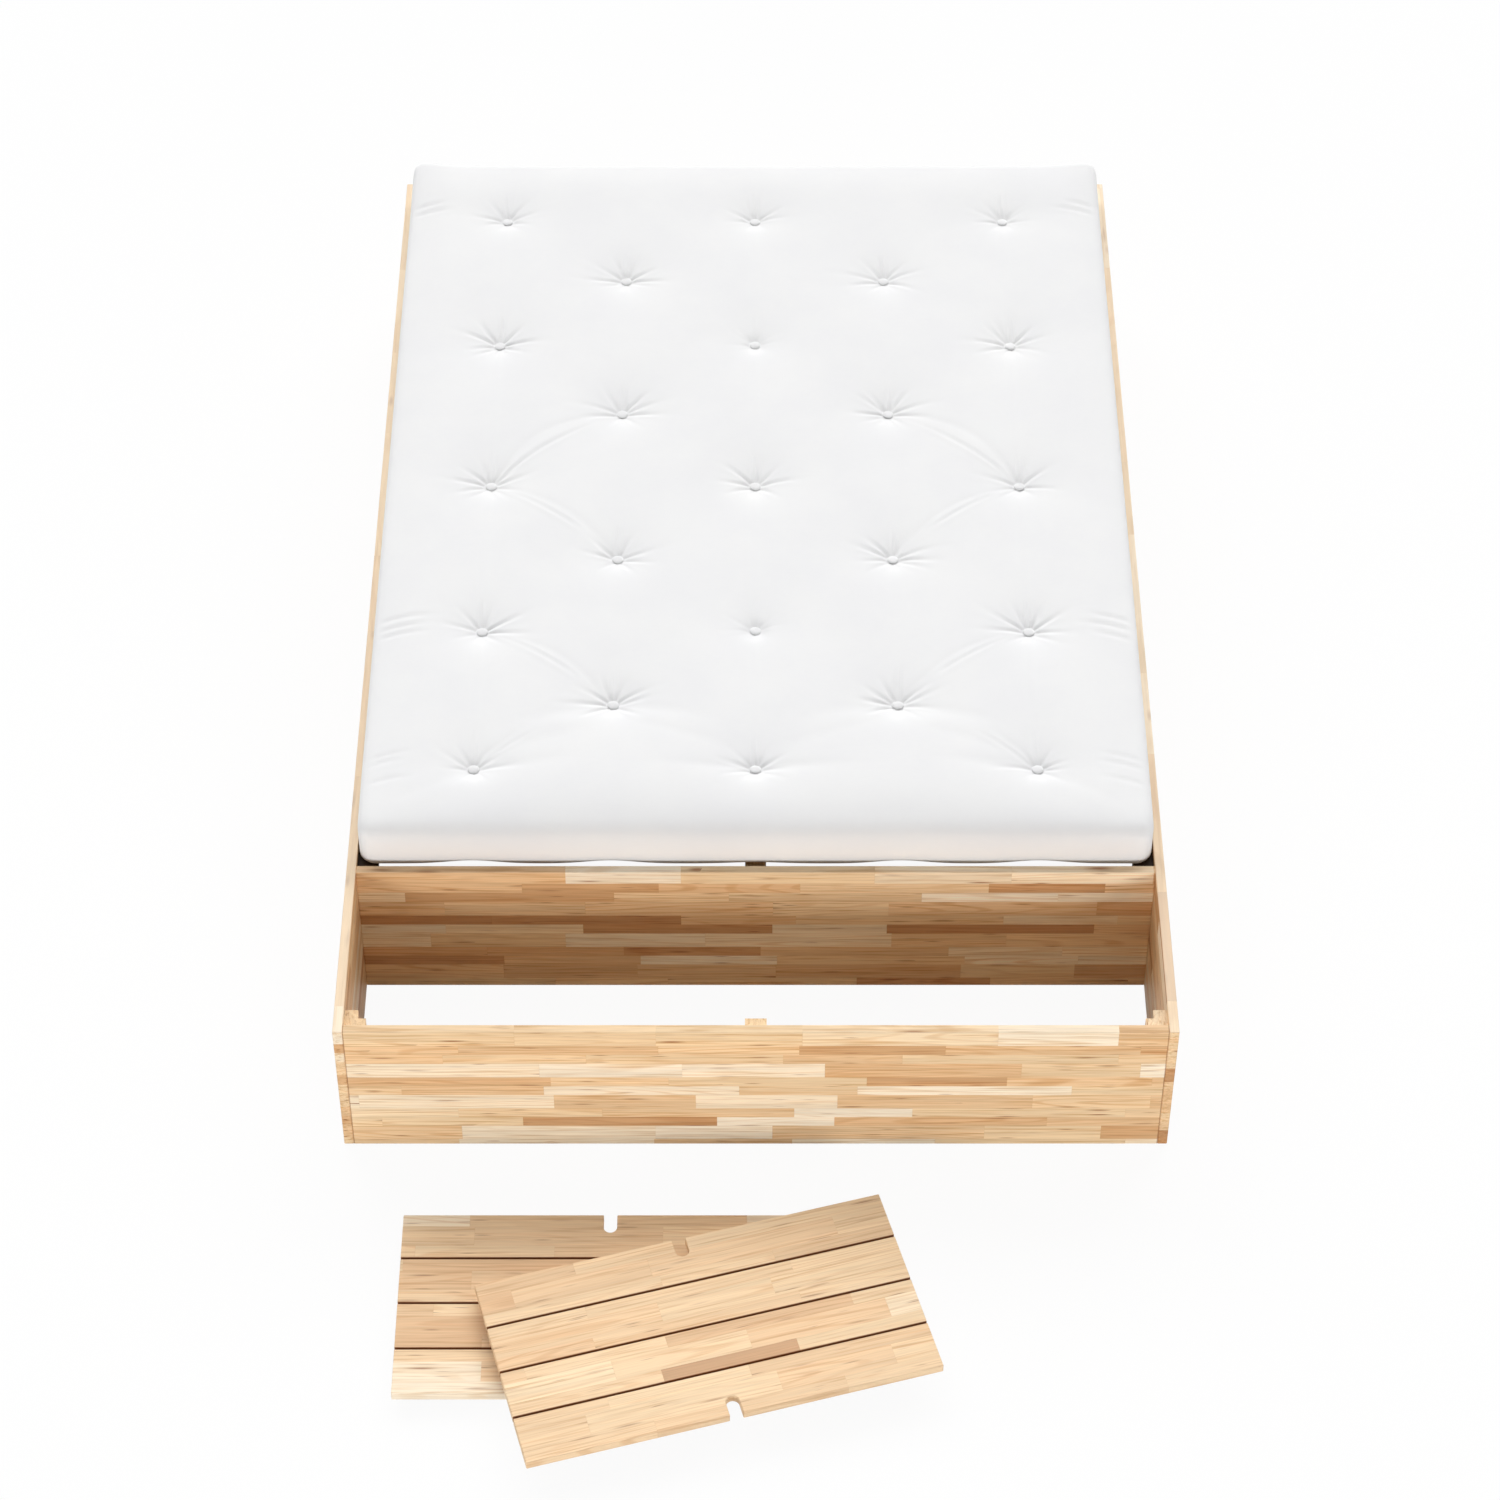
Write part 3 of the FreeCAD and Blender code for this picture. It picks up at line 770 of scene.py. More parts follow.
# The bed
@dataclass
class BedFrame:
    """Boards, posts, slatted base and bolts of the bed."""

    slat_count: int = 13
    edge_depth: float = 0.0014
    joint_width: float = 0.0018
    stations: tuple[str, ...] = ("foot", "partition", "head")
    sides: tuple[str, ...] = ("left", "right")

    def dress(self) -> None:
        """Gives every piece of the bed its finish."""
        self.dress_boards()
        self.dress_posts()
        self.dress_base()
        dress(["corner_bolts"], SteelFinish())

    def dress_boards(self) -> None:
        """Gives each board staves of its own."""
        _, corner = node_box("foot_board")
        edge = corner[2] - self.edge_depth
        end = corner[0] - self.joint_width
        boards = {
            "foot_board": StaveFinish("foot_board_staves", Grain.ACROSS_BED, 4.0, row_shift=0.35,
                                      tone_middle=0.45, edge_level=edge, edge_share=0.1, end_level=end),
            "partition_board": StaveFinish("partition_staves", Grain.ACROSS_BED, 12.0, row_shift=0.1,
                                           tone_spread=1.1, edge_level=edge, edge_share=0.1),
            "head_board": StaveFinish("head_board_staves", Grain.ACROSS_BED, 23.0, row_shift=0.6,
                                      end_level=end),
        }
        for side, seed, shift in (("left", 31.0, 0.2), ("right", 47.0, 0.8)):
            boards[f"side_board_{side}"] = StaveFinish(f"{side}_board_staves", Grain.ALONG_BED, seed,
                                                       row_shift=shift, edge_level=edge, edge_share=0.6)
        for name, finish in boards.items():
            dress([name], finish)

    def dress_posts(self) -> None:
        """Gives posts and cleats upright wood: pale at the foot, near black under the mattress."""
        pale = StaveFinish("post_wood", Grain.UPRIGHT, 5.0, **ONE_PIECE, row_shift=0.5, tone_middle=0.24,
                           tone_spread=0.25)
        # The posts and cleats under the mattress are coloured near black
        dark = StaveFinish("dark_post_wood", Grain.UPRIGHT, 9.0, **ONE_PIECE, row_shift=0.5, stain=0.97)
        kinds = [f"{kind}_{side}" for kind in ("post", "cleat") for side in self.sides] + ["centre_post"]
        for finish, stations in ((pale, self.stations[:1]), (dark, self.stations[1:])):
            dress([f"{station}_{kind}" for station in stations for kind in kinds], finish)

    def dress_base(self) -> None:
        """Gives the slats, what carries them and their straps a finish."""
        first, second = node_middle("slat_01")[1], node_middle("slat_02")[1]
        pitch = second - first
        slat = StaveFinish("slat_wood", Grain.LYING_ACROSS, 14.0, stave_length=0.9, stave_height=pitch,
                           tone_middle=0.45, tone_spread=0.6, centre=(0.0, first - pitch / 2, 0.0))
        rail = StaveFinish("rail_wood", Grain.ALONG_BED, 17.0, stave_length=1.1, stave_height=0.5,
                           row_shift=0.1, tone_spread=0.5)
        leg = StaveFinish("leg_wood", Grain.UPRIGHT, 19.0, **ONE_PIECE, row_shift=0.5, tone_middle=0.4,
                          tone_spread=0.2)
        dress([f"slat_{number:02d}" for number in range(1, self.slat_count + 1)], slat)
        dress(["ledger_left", "ledger_right", "centre_beam"], rail)
        dress(["centre_leg"], leg)
        dress(["slat_strap_left", "slat_strap_right"], WEBBING)


@dataclass
class Lid:
    """One loose lid: four planks on two battens."""

    name: str
    seed: float
    tone: float
    plank_count: int = 4
    staves_across: int = 3

    def dress(self) -> None:
        """Gives the planks staves that follow the lid as it lies, and the battens plain wood."""
        first, last = (node_middle(f"{self.name}_plank_{plank}") for plank in (1, self.plank_count))
        run = last - first
        pitch = math.hypot(run[0], run[1]) / (self.plank_count - 1)
        turn = math.degrees(math.atan2(-run[0], run[1]))
        centre = ((first[0] + last[0]) / 2, (first[1] + last[1]) / 2, 0.0)
        # The planks' edges in the gaps between them get painted shade
        planks = StaveFinish(f"{self.name}_staves", Grain.LYING_ACROSS, self.seed, stave_length=0.29,
                             stave_height=pitch / self.staves_across, tone_middle=self.tone, tone_spread=0.9,
                             centre=centre, turn=turn, gap_pitch=pitch, gap_shade=0.9, edge_level=-10.0,
                             edge_share=0.2)
        battens = StaveFinish(f"{self.name}_batten_wood", Grain.LYING_ALONG, self.seed + 3.0, **ONE_PIECE,
                              row_shift=0.25, tone_middle=0.45, tone_spread=0.4, centre=centre, turn=turn)
        dress([f"{self.name}_plank_{plank}" for plank in range(1, self.plank_count + 1)], planks)
        dress([f"{self.name}_batten_{side}" for side in ("left", "right")], battens)


# The mattress
@dataclass(frozen=True)
class Tuft:
    """A sewn tuft: where the CAD button's underside lies, and its place in the rows from the foot."""

    x: float
    y: float
    level: float
    row: int
    column: int
    sink: float = 0.004

    @property
    def strength(self) -> float:
        """How hard the tuft pulls on the cover; two in the middle and the end rows pull less."""
        if self.column == 1 and self.row in (2, 6):
            return 0.3
        return 0.7 if self.row in (0, 8) else 1.0

    @property
    def seat(self) -> float:
        """How far down the soft cover is drawn, a little deeper than in CAD."""
        return self.level - self.sink * self.strength

    def away(self, points: np.ndarray) -> np.ndarray:
        """Measures how far points are from the tuft, seen from above."""
        return np.hypot(points[:, 0] - self.x, points[:, 1] - self.y)


def find_tufts(room: float = 0.05) -> list[Tuft]:
    """Finds the tufts in the CAD buttons.

    Args:
        room: more than a button's width, and less than the way to the next one.

    Returns:
        The tufts, row by row from the foot, each row from the left.
    """
    points = read_points(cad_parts["tuft_buttons"].data)
    middles = []
    while len(points):
        near = np.linalg.norm(points[:, :2] - points[0, :2], axis=1) < room
        low, high = points[near].min(axis=0), points[near].max(axis=0)
        middles.append(((low[0] + high[0]) / 2, (low[1] + high[1]) / 2, low[2]))
        points = points[~near]
    middles.sort(key=lambda middle: middle[1])
    rows: list[list[Triple]] = []
    for middle in middles:
        if not rows or middle[1] - rows[-1][-1][1] > room:
            rows.append([])
        rows[-1].append(middle)
    return [
        Tuft(x, y, level, row, column)
        for row, members in enumerate(rows)
        for column, (x, y, level) in enumerate(sorted(members))
    ]


@dataclass(frozen=True)
class Fold:
    """A crease fold: between which shares of the way its sharp and soft lines run, and how far they bow."""

    sharp: Pair
    soft: Pair
    swing: float
    crest: float
    valley: float = 0.011
    root: float = 0.001
    sharp_fades: Triple = (0.3, 0.12, 0.2)
    soft_fades: Triple = (0.0, 0.26, 0.22)
    tip_width_share: float = 0.55

    def rise(self, share: np.ndarray, up: np.ndarray) -> np.ndarray:
        """Works out the fold's form.

        Args:
            share: how far along the way between its tufts each vertex is, from 0 to 1.
            up: how far each vertex is beside that way, towards the head.

        Returns:
            How far each vertex is raised.
        """
        bow = np.sin(math.pi * share)
        narrow = self.tip_width_share + (1.0 - self.tip_width_share) * bow
        spans = ((self.sharp, self.sharp_fades), (self.soft, self.soft_fades))
        sharp, soft = (
            hump(start - before, start + after, end - last, end, share)
            for (start, end), (before, after, last) in spans
        )
        lines = (
            (-0.0017, sharp, self.valley, 0.0050),
            (-0.0016, soft, self.swing, 0.0105),
            (0.0012, sharp, self.crest, 0.0075),
            (0.0008, sharp, self.root, 0.0065),
        )
        rise = np.zeros(len(share))
        for height, fade, offset, width in lines:
            rise += height * fade * bell((up - offset * bow) / (width * narrow))
        return rise


@dataclass(frozen=True)
class Puckers:
    """Small folds that run out from a tuft, and two straight pleats from it towards the head."""

    reach: float = 0.16
    fewest: int = 9
    choices: int = 3
    jitter: float = 0.28
    length: float = 0.055
    side_length: Pair = (0.03, 0.09)
    head_length: float = 0.03
    depth: Pair = (0.0018, 0.0034)
    foot_fade: float = 0.6
    bend: float = 1.6
    width: float = 0.0032
    flare: float = 0.085
    start: Pair = (0.004, 0.018)
    fall_share: float = 0.25
    pleat_places: Pair = (-0.006, 0.006)
    pleat_length: Pair = (0.08, 0.13)
    pleat_depth: float = 0.0018
    pleat_width: float = 0.0040
    pleat_start: Pair = (0.006, 0.02)
    pleat_fall_share: float = 0.4

    def rise(self, points: np.ndarray, tuft: Tuft, dice: np.random.RandomState) -> np.ndarray:
        """Works out the folds round a tuft.

        Args:
            points: the cover's vertices.
            tuft: where the folds start.
            dice: what makes each fold unlike the others.

        Returns:
            How far each vertex is raised.
        """
        rise = np.zeros(len(points))
        near = np.flatnonzero(tuft.away(points) < self.reach)
        offset = points[near, :2] - (tuft.x, tuft.y)
        count = self.fewest + int(dice.randint(0, self.choices))
        first = dice.uniform(0.0, math.tau)
        for number in range(count):
            angle = first + math.tau * (number + dice.uniform(-self.jitter, self.jitter)) / count
            sideways, headwards = math.cos(angle), math.sin(angle)
            length = self.length + dice.uniform(*self.side_length) * sideways**2
            length = (length + self.head_length * max(headwards, 0.0)) * (0.5 + 0.5 * tuft.strength)
            fade = 1.0 - self.foot_fade * max(-headwards, 0.0)
            depth = dice.uniform(*self.depth) * tuft.strength * fade
            bend = dice.uniform(-self.bend, self.bend)
            along = offset @ np.array((sideways, headwards))
            aside = offset @ np.array((-headwards, sideways)) - bend * along * np.abs(along)
            width = self.width + self.flare * np.maximum(along, 0.0)
            rise[near] -= depth * furrow(aside / width, along, self.start, self.fall_share, length)
        sideways, headwards = offset.T
        for place in self.pleat_places:
            length = dice.uniform(*self.pleat_length)
            aside = (sideways - place) / self.pleat_width
            pleat = furrow(aside, headwards, self.pleat_start, self.pleat_fall_share, length)
            rise[near] -= self.pleat_depth * tuft.strength * pleat
        return rise


@dataclass(frozen=True)
class Wrinkles:
    """Short wrinkles between a side edge and the outer tuft of one row."""

    row: int
    depth: float
    stretch: float
    offsets: tuple[float, ...]
    reach: Pair = (0.085, 0.125)
    shift: float = 0.004
    sag: float = 0.022
    width: float = 0.0075
    start: Pair = (0.006, 0.03)
    fall_share: float = 0.6

    def rise(self, inward: np.ndarray, along: np.ndarray, dice: np.random.RandomState) -> np.ndarray:
        """Works out the wrinkles on one side.

        Args:
            inward: how far each vertex is from the side edge.
            along: how far each vertex is from the tuft, towards the head.
            dice: what makes each wrinkle unlike the others.

        Returns:
            How far each vertex is raised.
        """
        rise = np.zeros(len(inward))
        for offset in self.offsets:
            reach = self.stretch * dice.uniform(*self.reach)
            share = np.clip(inward / reach, 0.0, 1.0)
            line = offset + dice.uniform(-self.shift, self.shift) - self.sag * (1.0 - share) ** 2
            aside = (along - line) / self.width
            rise -= self.depth * furrow(aside, inward, self.start, self.fall_share, reach)
        return rise


OUTWARD_FOLD = Fold((0.42, 0.98), (0.04, 0.98), 0.049, 0.023)
INWARD_FOLD = Fold((0.34, 0.76), (0.14, 1.0), 0.029, 0.020)
SHORT_FOLD = Fold((0.74, 0.98), (0.50, 0.98), 0.029, 0.020)
EDGE_WRINKLES = (
    Wrinkles(0, 0.0024, 1.0, (0.033, 0.012, -0.028)),
    Wrinkles(2, 0.0030, 1.15, (0.034, 0.012, -0.012)),
    Wrinkles(8, 0.0032, 1.0, (0.052, 0.030)),
)


@dataclass
class Mattress:
    """The mattress cover: swollen by its filling, drawn in at its tufts, puckered and creased."""

    tufts: list[Tuft]

    # The block and its rounded edges
    foot_ease: float = 0.003
    head_ease: float = 0.0015
    slat_gap: float = 0.0001
    board_gap: float = 0.0022
    slack: float = 0.0073
    corner_round: float = 0.030
    top_round: float = 0.022
    low_round: float = 0.006
    tolerance: float = 1e-4
    voxel: float = 0.012

    # How it is drawn in at the tufts, the head and the foot
    funnel_reach: float = 0.055
    firm_height: float = 0.03
    soft_depth: float = 0.02
    head_reach: float = 0.20
    head_pull: float = 0.006
    head_rise: float = 0.004
    ear_rise: float = 0.008
    ear_share: float = 0.86
    roll_length: float = 0.075
    roll_drop: float = 0.010

    # How it swells as cloth
    held_height: float = 0.004
    held_radius: float = 0.013
    cloth_mass: float = 0.3
    stiffness: float = 20.0
    pressure: float = 4.0
    frames: int = 20
    most_move: float = 0.012
    foot_swell: float = 0.45
    foot_fade: Pair = (0.04, 0.20)

    # What the sewing and the filling do to it
    puckers: Puckers = Puckers()
    creased_rows: tuple[int, ...] = (5, 4, 2, 1)
    fine_reach: float = 0.075
    sewn_height: float = 0.024
    sewn_fade: float = 0.030
    pillow_height: float = 0.0055
    pillow_side: float = 0.11
    pillow_end: float = 0.13
    channel_height: float = 0.0007
    channel_width: float = 0.007
    wave_height: float = 0.0009
    wave_turns: Pair = (11.0, 9.0)
    wave_starts: Pair = (1.3, 0.4)
    seat_core: float = 0.010
    seat_gap: float = 0.0004
    seat_reach: float = 0.020
    seat_foot_reach: float = 0.014

    # How its lower edge is lifted at the foot, and how it lies between the boards
    foot_lifts: tuple[Pair, ...] = ((0.541, 0.009), (0.277, 0.009), (0.0, 0.004))
    lift_width: float = 0.065
    lift_depth: Pair = (0.01, 0.05)
    lift_height: Pair = (0.004, 0.045)
    free_room: float = 0.003
    free_height: Pair = (0.004, 0.016)
    dice: np.random.RandomState = field(default_factory=lambda: np.random.RandomState(2063))

    def __post_init__(self) -> None:
        """Takes the cover's place from the CAD mattress and the boards round it."""
        low, high = node_box("mattress")
        self.half_width = float(high[0])
        self.foot = float(low[1]) - self.foot_ease
        self.head = float(high[1]) + self.head_ease
        self.underside = float(low[2]) + self.slat_gap
        self.top = float(high[2]) - self.slack
        _, corner = node_box("partition_board")
        self.board_top = float(corner[2])
        self.board_room = float(corner[0]) - self.board_gap
        self.sewn_level = self.board_top + self.sewn_height

    def build(self) -> Piece:
        """Models the cover.

        Returns:
            The finished mattress, riding on its body.
        """
        block = self.rough_out()
        cover = self.remesh(block)
        self.draw_in(cover)
        self.swell(cover)
        self.refine(cover)
        self.sew(cover)
        clothe(cover, COVER_CLOTH)
        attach(cover, "mattress")
        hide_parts("mattress")
        return cover

    def rough_out(self) -> Piece:
        """Models the stuffed block before it swells.

        Returns:
            The block.
        """
        bpy.ops.object.select_all(action="DESELECT")
        middle = (0.0, (self.foot + self.head) / 2, (self.underside + self.top) / 2)
        bpy.ops.mesh.primitive_cube_add(size=1.0, location=middle)
        block = bpy.context.active_object
        block.name = "mattress_block"
        block.scale = (2 * self.half_width, self.head - self.foot, self.top - self.underside)
        bpy.ops.object.transform_apply(location=True, rotation=True, scale=True)
        upright = np.ptp(edge_heights(block.data), axis=1) > self.tolerance
        self.round_off(block, upright, self.corner_round, 6)
        for level, size, steps in ((self.top, self.top_round, 5), (self.underside, self.low_round, 3)):
            ring = np.abs(edge_heights(block.data) - level).max(axis=1) < self.tolerance
            self.round_off(block, ring, size, steps)
        return block

    @staticmethod
    def round_off(block: Piece, wanted: np.ndarray, size: float, steps: int) -> None:
        """Rounds some of the block's edges.

        Args:
            block: the active object.
            wanted: one true or false for each edge.
            size: how far the rounding reaches.
            steps: how many faces it has.
        """
        edit_selected(block, MeshPart.EDGE, wanted)
        bpy.ops.mesh.bevel(offset=size, segments=steps, affect="EDGES")
        bpy.ops.object.mode_set(mode="OBJECT")

    def remesh(self, block: Piece) -> Piece:
        """Makes an even mesh of the block's copy.

        Args:
            block: the stuffed block, which is removed.

        Returns:
            The cover, still unsewn.
        """
        cover = add_object("mattress_cover", block.data.copy())
        bpy.data.objects.remove(block)
        select_only(cover)
        cover.data.remesh_voxel_size = self.voxel
        bpy.ops.object.voxel_remesh()
        return cover

    def draw_in(self, cover: Piece) -> None:
        """Draws the cover down at its tufts, in between its corners at the head, and over at the foot.

        Args:
            cover: the unsewn cover.
        """
        points = read_points(cover.data)
        upper = soft_step(self.underside + self.firm_height, self.top - self.soft_depth, points[:, 2])
        for tuft in self.tufts:
            points[:, 2] -= upper * (self.top - tuft.seat) * np.exp(-tuft.away(points) / self.funnel_reach)
        share = np.clip(points[:, 0] / self.half_width, -1.0, 1.0)
        far = soft_step(self.head - self.head_reach, self.head, points[:, 1])
        points[:, 1] -= self.head_pull * far * (1.0 - share**6)
        ears = soft_step(self.ear_share, 1.0, np.abs(share))
        points[:, 2] += upper * far * (self.head_rise + self.ear_rise * ears)
        back = np.clip((points[:, 1] - self.foot) / self.roll_length, 0.0, 1.0)
        points[:, 2] -= upper * self.roll_drop * (1.0 - back) ** 2
        write_points(cover.data, points)

    def seam(self, points: np.ndarray) -> np.ndarray:
        """Says which points are on the seam along the sides and the head; the foot rolls over freely."""
        aside = np.minimum(self.half_width - np.abs(points[:, 0]), self.head - points[:, 1])
        return (aside < self.top_round) & (points[:, 2] > self.top - self.top_round)

    def swell(self, cover: Piece) -> None:
        """Blows the cover up from inside as cloth, held at its underside, its seam and its tufts.

        Args:
            cover: the cover as it is drawn in.
        """
        start = read_points(cover.data)
        held = self.seam(start) | (start[:, 2] < self.underside + self.held_height)
        for tuft in self.tufts:
            held |= tuft.away(start) < self.held_radius
        pins = cover.vertex_groups.new(name="held")
        pins.add([int(index) for index in np.flatnonzero(held)], 1.0, "REPLACE")
        cloth = cover.modifiers.new("swell", "CLOTH")
        cloth.settings.quality = 5
        cloth.settings.mass = self.cloth_mass
        cloth.settings.tension_stiffness = self.stiffness
        cloth.settings.compression_stiffness = self.stiffness
        cloth.settings.bending_stiffness = 1.0
        cloth.settings.use_pressure = True
        cloth.settings.uniform_pressure_force = self.pressure
        cloth.settings.vertex_group_mass = pins.name
        cloth.settings.effector_weights.gravity = 0.0
        cloth.point_cache.frame_start = 1
        cloth.point_cache.frame_end = self.frames
        for number in range(1, self.frames + 1):
            bpy.context.scene.frame_set(number)
        bpy.ops.object.modifier_apply(modifier="swell")
        bpy.context.scene.frame_set(1)
        cover.vertex_groups.clear()
        move = read_points(cover.data) - start
        firm = soft_step(*self.foot_fade, start[:, 1] - self.foot)
        move *= (self.foot_swell + (1.0 - self.foot_swell) * firm)[:, None]
        size = np.maximum(np.linalg.norm(move, axis=1, keepdims=True), TINY)
        LOG.info("the cover swelled by up to %.1f mm", 1000 * float(size.max()))
        write_points(cover.data, start + move / size * self.most_move * np.tanh(size / self.most_move))

    def refine(self, cover: Piece) -> None:
        """Smooths the cover, and makes its mesh finer round the tufts and creases.

        Args:
            cover: the swollen cover.
        """
        smooth_once(cover)
        centres = read_rows(cover.data.polygons, "center")
        wanted = np.zeros(len(centres), bool)
        for tuft in self.tufts:
            wanted |= tuft.away(centres) < self.fine_reach
        for first, second in self.crease_pairs():
            along, aside, length = self.along_line(centres, first, second)
            wanted |= (along > 0) & (along < length) & (np.abs(aside) < self.fine_reach)
        wanted &= centres[:, 2] > self.sewn_level
        edit_selected(cover, MeshPart.FACE, wanted)
        bpy.ops.mesh.subdivide(number_cuts=1, smoothness=0.0)
        bpy.ops.object.mode_set(mode="OBJECT")
        bpy.ops.object.shade_smooth()

    def outer_tufts(self, row: int) -> tuple[Tuft, Tuft]:
        """Gives the left and the right tuft of a row."""
        members = [tuft for tuft in self.tufts if tuft.row == row]
        return members[0], members[-1]

    def crease_pairs(self) -> list[tuple[Tuft, Tuft]]:
        """Gives the outer tufts with a crease fold between them, the one nearer the head first."""
        steps = (zip(self.outer_tufts(row), self.outer_tufts(row - 1)) for row in self.creased_rows)
        return [pair for step in steps for pair in step]

    @staticmethod
    def along_line(points: np.ndarray, first: Tuft, second: Tuft) -> tuple[np.ndarray, np.ndarray, float]:
        """Measures points along and beside the line between two tufts.

        Args:
            points: rows of places.
            first, second: the line's ends.

        Returns:
            How far each point is along the line and to its left, and the line's length.
        """
        run = np.array((second.x - first.x, second.y - first.y))
        length = float(np.hypot(*run))
        run /= length
        offset = points[:, :2] - (first.x, first.y)
        return offset @ run, offset @ np.array((-run[1], run[0])), length

    def sew(self, cover: Piece) -> None:
        """Adds what the sewing and the filling do to the cover.

        Args:
            cover: the smooth cover.
        """
        points = read_points(cover.data)
        upper = soft_step(0.0, self.sewn_fade, points[:, 2] - self.sewn_level)
        rise = np.zeros(len(points))
        for tuft in self.tufts:
            rise += self.puckers.rise(points, tuft, self.dice)
        for first, second in self.crease_pairs():
            rise += self.crease(points, first, second)
        for relief in (self.channels, self.edge_wrinkles, self.pillow, self.waves):
            rise += relief(points)
        points[:, 2] += upper * rise
        self.seat_tufts(points, upper)
        self.settle(points)
        write_points(cover.data, points)

    def pillow(self, points: np.ndarray) -> np.ndarray:
        """Works out how the filling stands up between the tufts and the edges.

        Args:
            points: the cover's vertices.

        Returns:
            How far each vertex is raised.
        """
        rise = self.pillow_height * soft_step(0.0, self.pillow_side, self.half_width - np.abs(points[:, 0]))
        for inward in (points[:, 1] - self.foot, self.head - points[:, 1]):
            rise *= soft_step(0.0, self.pillow_end, inward)
        for tuft in self.tufts:
            rise *= 1.0 - tuft.strength * bell(tuft.away(points) / self.funnel_reach)
        return rise

    def waves(self, points: np.ndarray) -> np.ndarray:
        """Works out how far each vertex is raised by the slight unevenness of the filling."""
        across, along = np.sin(points[:, :2] * self.wave_turns + self.wave_starts).T
        return self.wave_height * across * along

    def crease(self, points: np.ndarray, first: Tuft, second: Tuft) -> np.ndarray:
        """Works out a lens-shaped fold between two tufts, bowed towards the head.

        Args:
            points: the cover's vertices.
            first, second: the tufts at its ends, the one nearer the head first.

        Returns:
            How far each vertex is raised.
        """
        along, aside, length = self.along_line(points, first, second)
        outward = abs(second.x) > abs(first.x)
        fold = SHORT_FOLD if second.row == 0 else OUTWARD_FOLD if outward else INWARD_FOLD
        return fold.rise(np.clip(along / length, 0.0, 1.0), aside * math.copysign(1.0, second.x - first.x))

    def channels(self, points: np.ndarray) -> np.ndarray:
        """Works out the faint ridges along the bed through the rows of three tufts.

        Args:
            points: the cover's vertices.

        Returns:
            How far each vertex is raised.
        """
        rise = np.zeros(len(points))
        for column in range(3):
            line = [tuft for tuft in self.tufts if tuft.row % 2 == 0 and tuft.column == column]
            for first, second in zip(line, line[1:]):
                along, aside, length = self.along_line(points, first, second)
                share = np.clip(along / length, 0.0, 1.0)
                fade = np.sin(math.pi * share) ** 0.7 * ((along > 0) & (along < length))
                rise += self.channel_height * fade * groove(aside / self.channel_width)
        return rise

    def edge_wrinkles(self, points: np.ndarray) -> np.ndarray:
        """Works out the short wrinkles between the side edges and the outer tufts.

        Args:
            points: the cover's vertices.

        Returns:
            How far each vertex is raised.
        """
        rise = np.zeros(len(points))
        for wrinkles in EDGE_WRINKLES:
            for tuft, side in zip(self.outer_tufts(wrinkles.row), (-1.0, 1.0)):
                inward = self.half_width - side * points[:, 0]
                rise += wrinkles.rise(inward, points[:, 1] - tuft.y, self.dice)
        return rise

    def seat_tufts(self, points: np.ndarray, upper: np.ndarray) -> None:
        """Brings the cover to just under each button, with a gentler slope towards the foot.

        Args:
            points: the cover's vertices, which are moved.
            upper: how far each of them belongs to the cover's top, from 0 to 1.
        """
        for tuft in self.tufts:
            away = tuft.away(points)
            core = (away < self.seat_core) & (upper > 0.5)
            gap = float(points[core, 2].max()) - (tuft.seat - self.seat_gap)
            towards_foot = np.clip((tuft.y - points[:, 1]) / np.maximum(away, TINY), 0.0, 1.0)
            reach = self.seat_reach + self.seat_foot_reach * towards_foot
            points[:, 2] -= upper * gap * bell(away / reach)

    def settle(self, points: np.ndarray) -> None:
        """Lifts the foot's lower edge in line with the tufts, and keeps the sides between the boards.

        Args:
            points: the cover's vertices, which are moved.
        """
        front = 1.0 - soft_step(*self.lift_depth, points[:, 1] - self.foot)
        low = 1.0 - soft_step(*self.lift_height, points[:, 2] - self.underside)
        for line, lift in self.foot_lifts:
            points[:, 2] += lift * front * low * bell((np.abs(points[:, 0]) - line) / self.lift_width)
        room = self.board_room + self.free_room * soft_step(*self.free_height, points[:, 2] - self.board_top)
        points[:, 0] = np.clip(points[:, 0], -room, room)
        points[:, 2] = np.maximum(points[:, 2], self.underside)


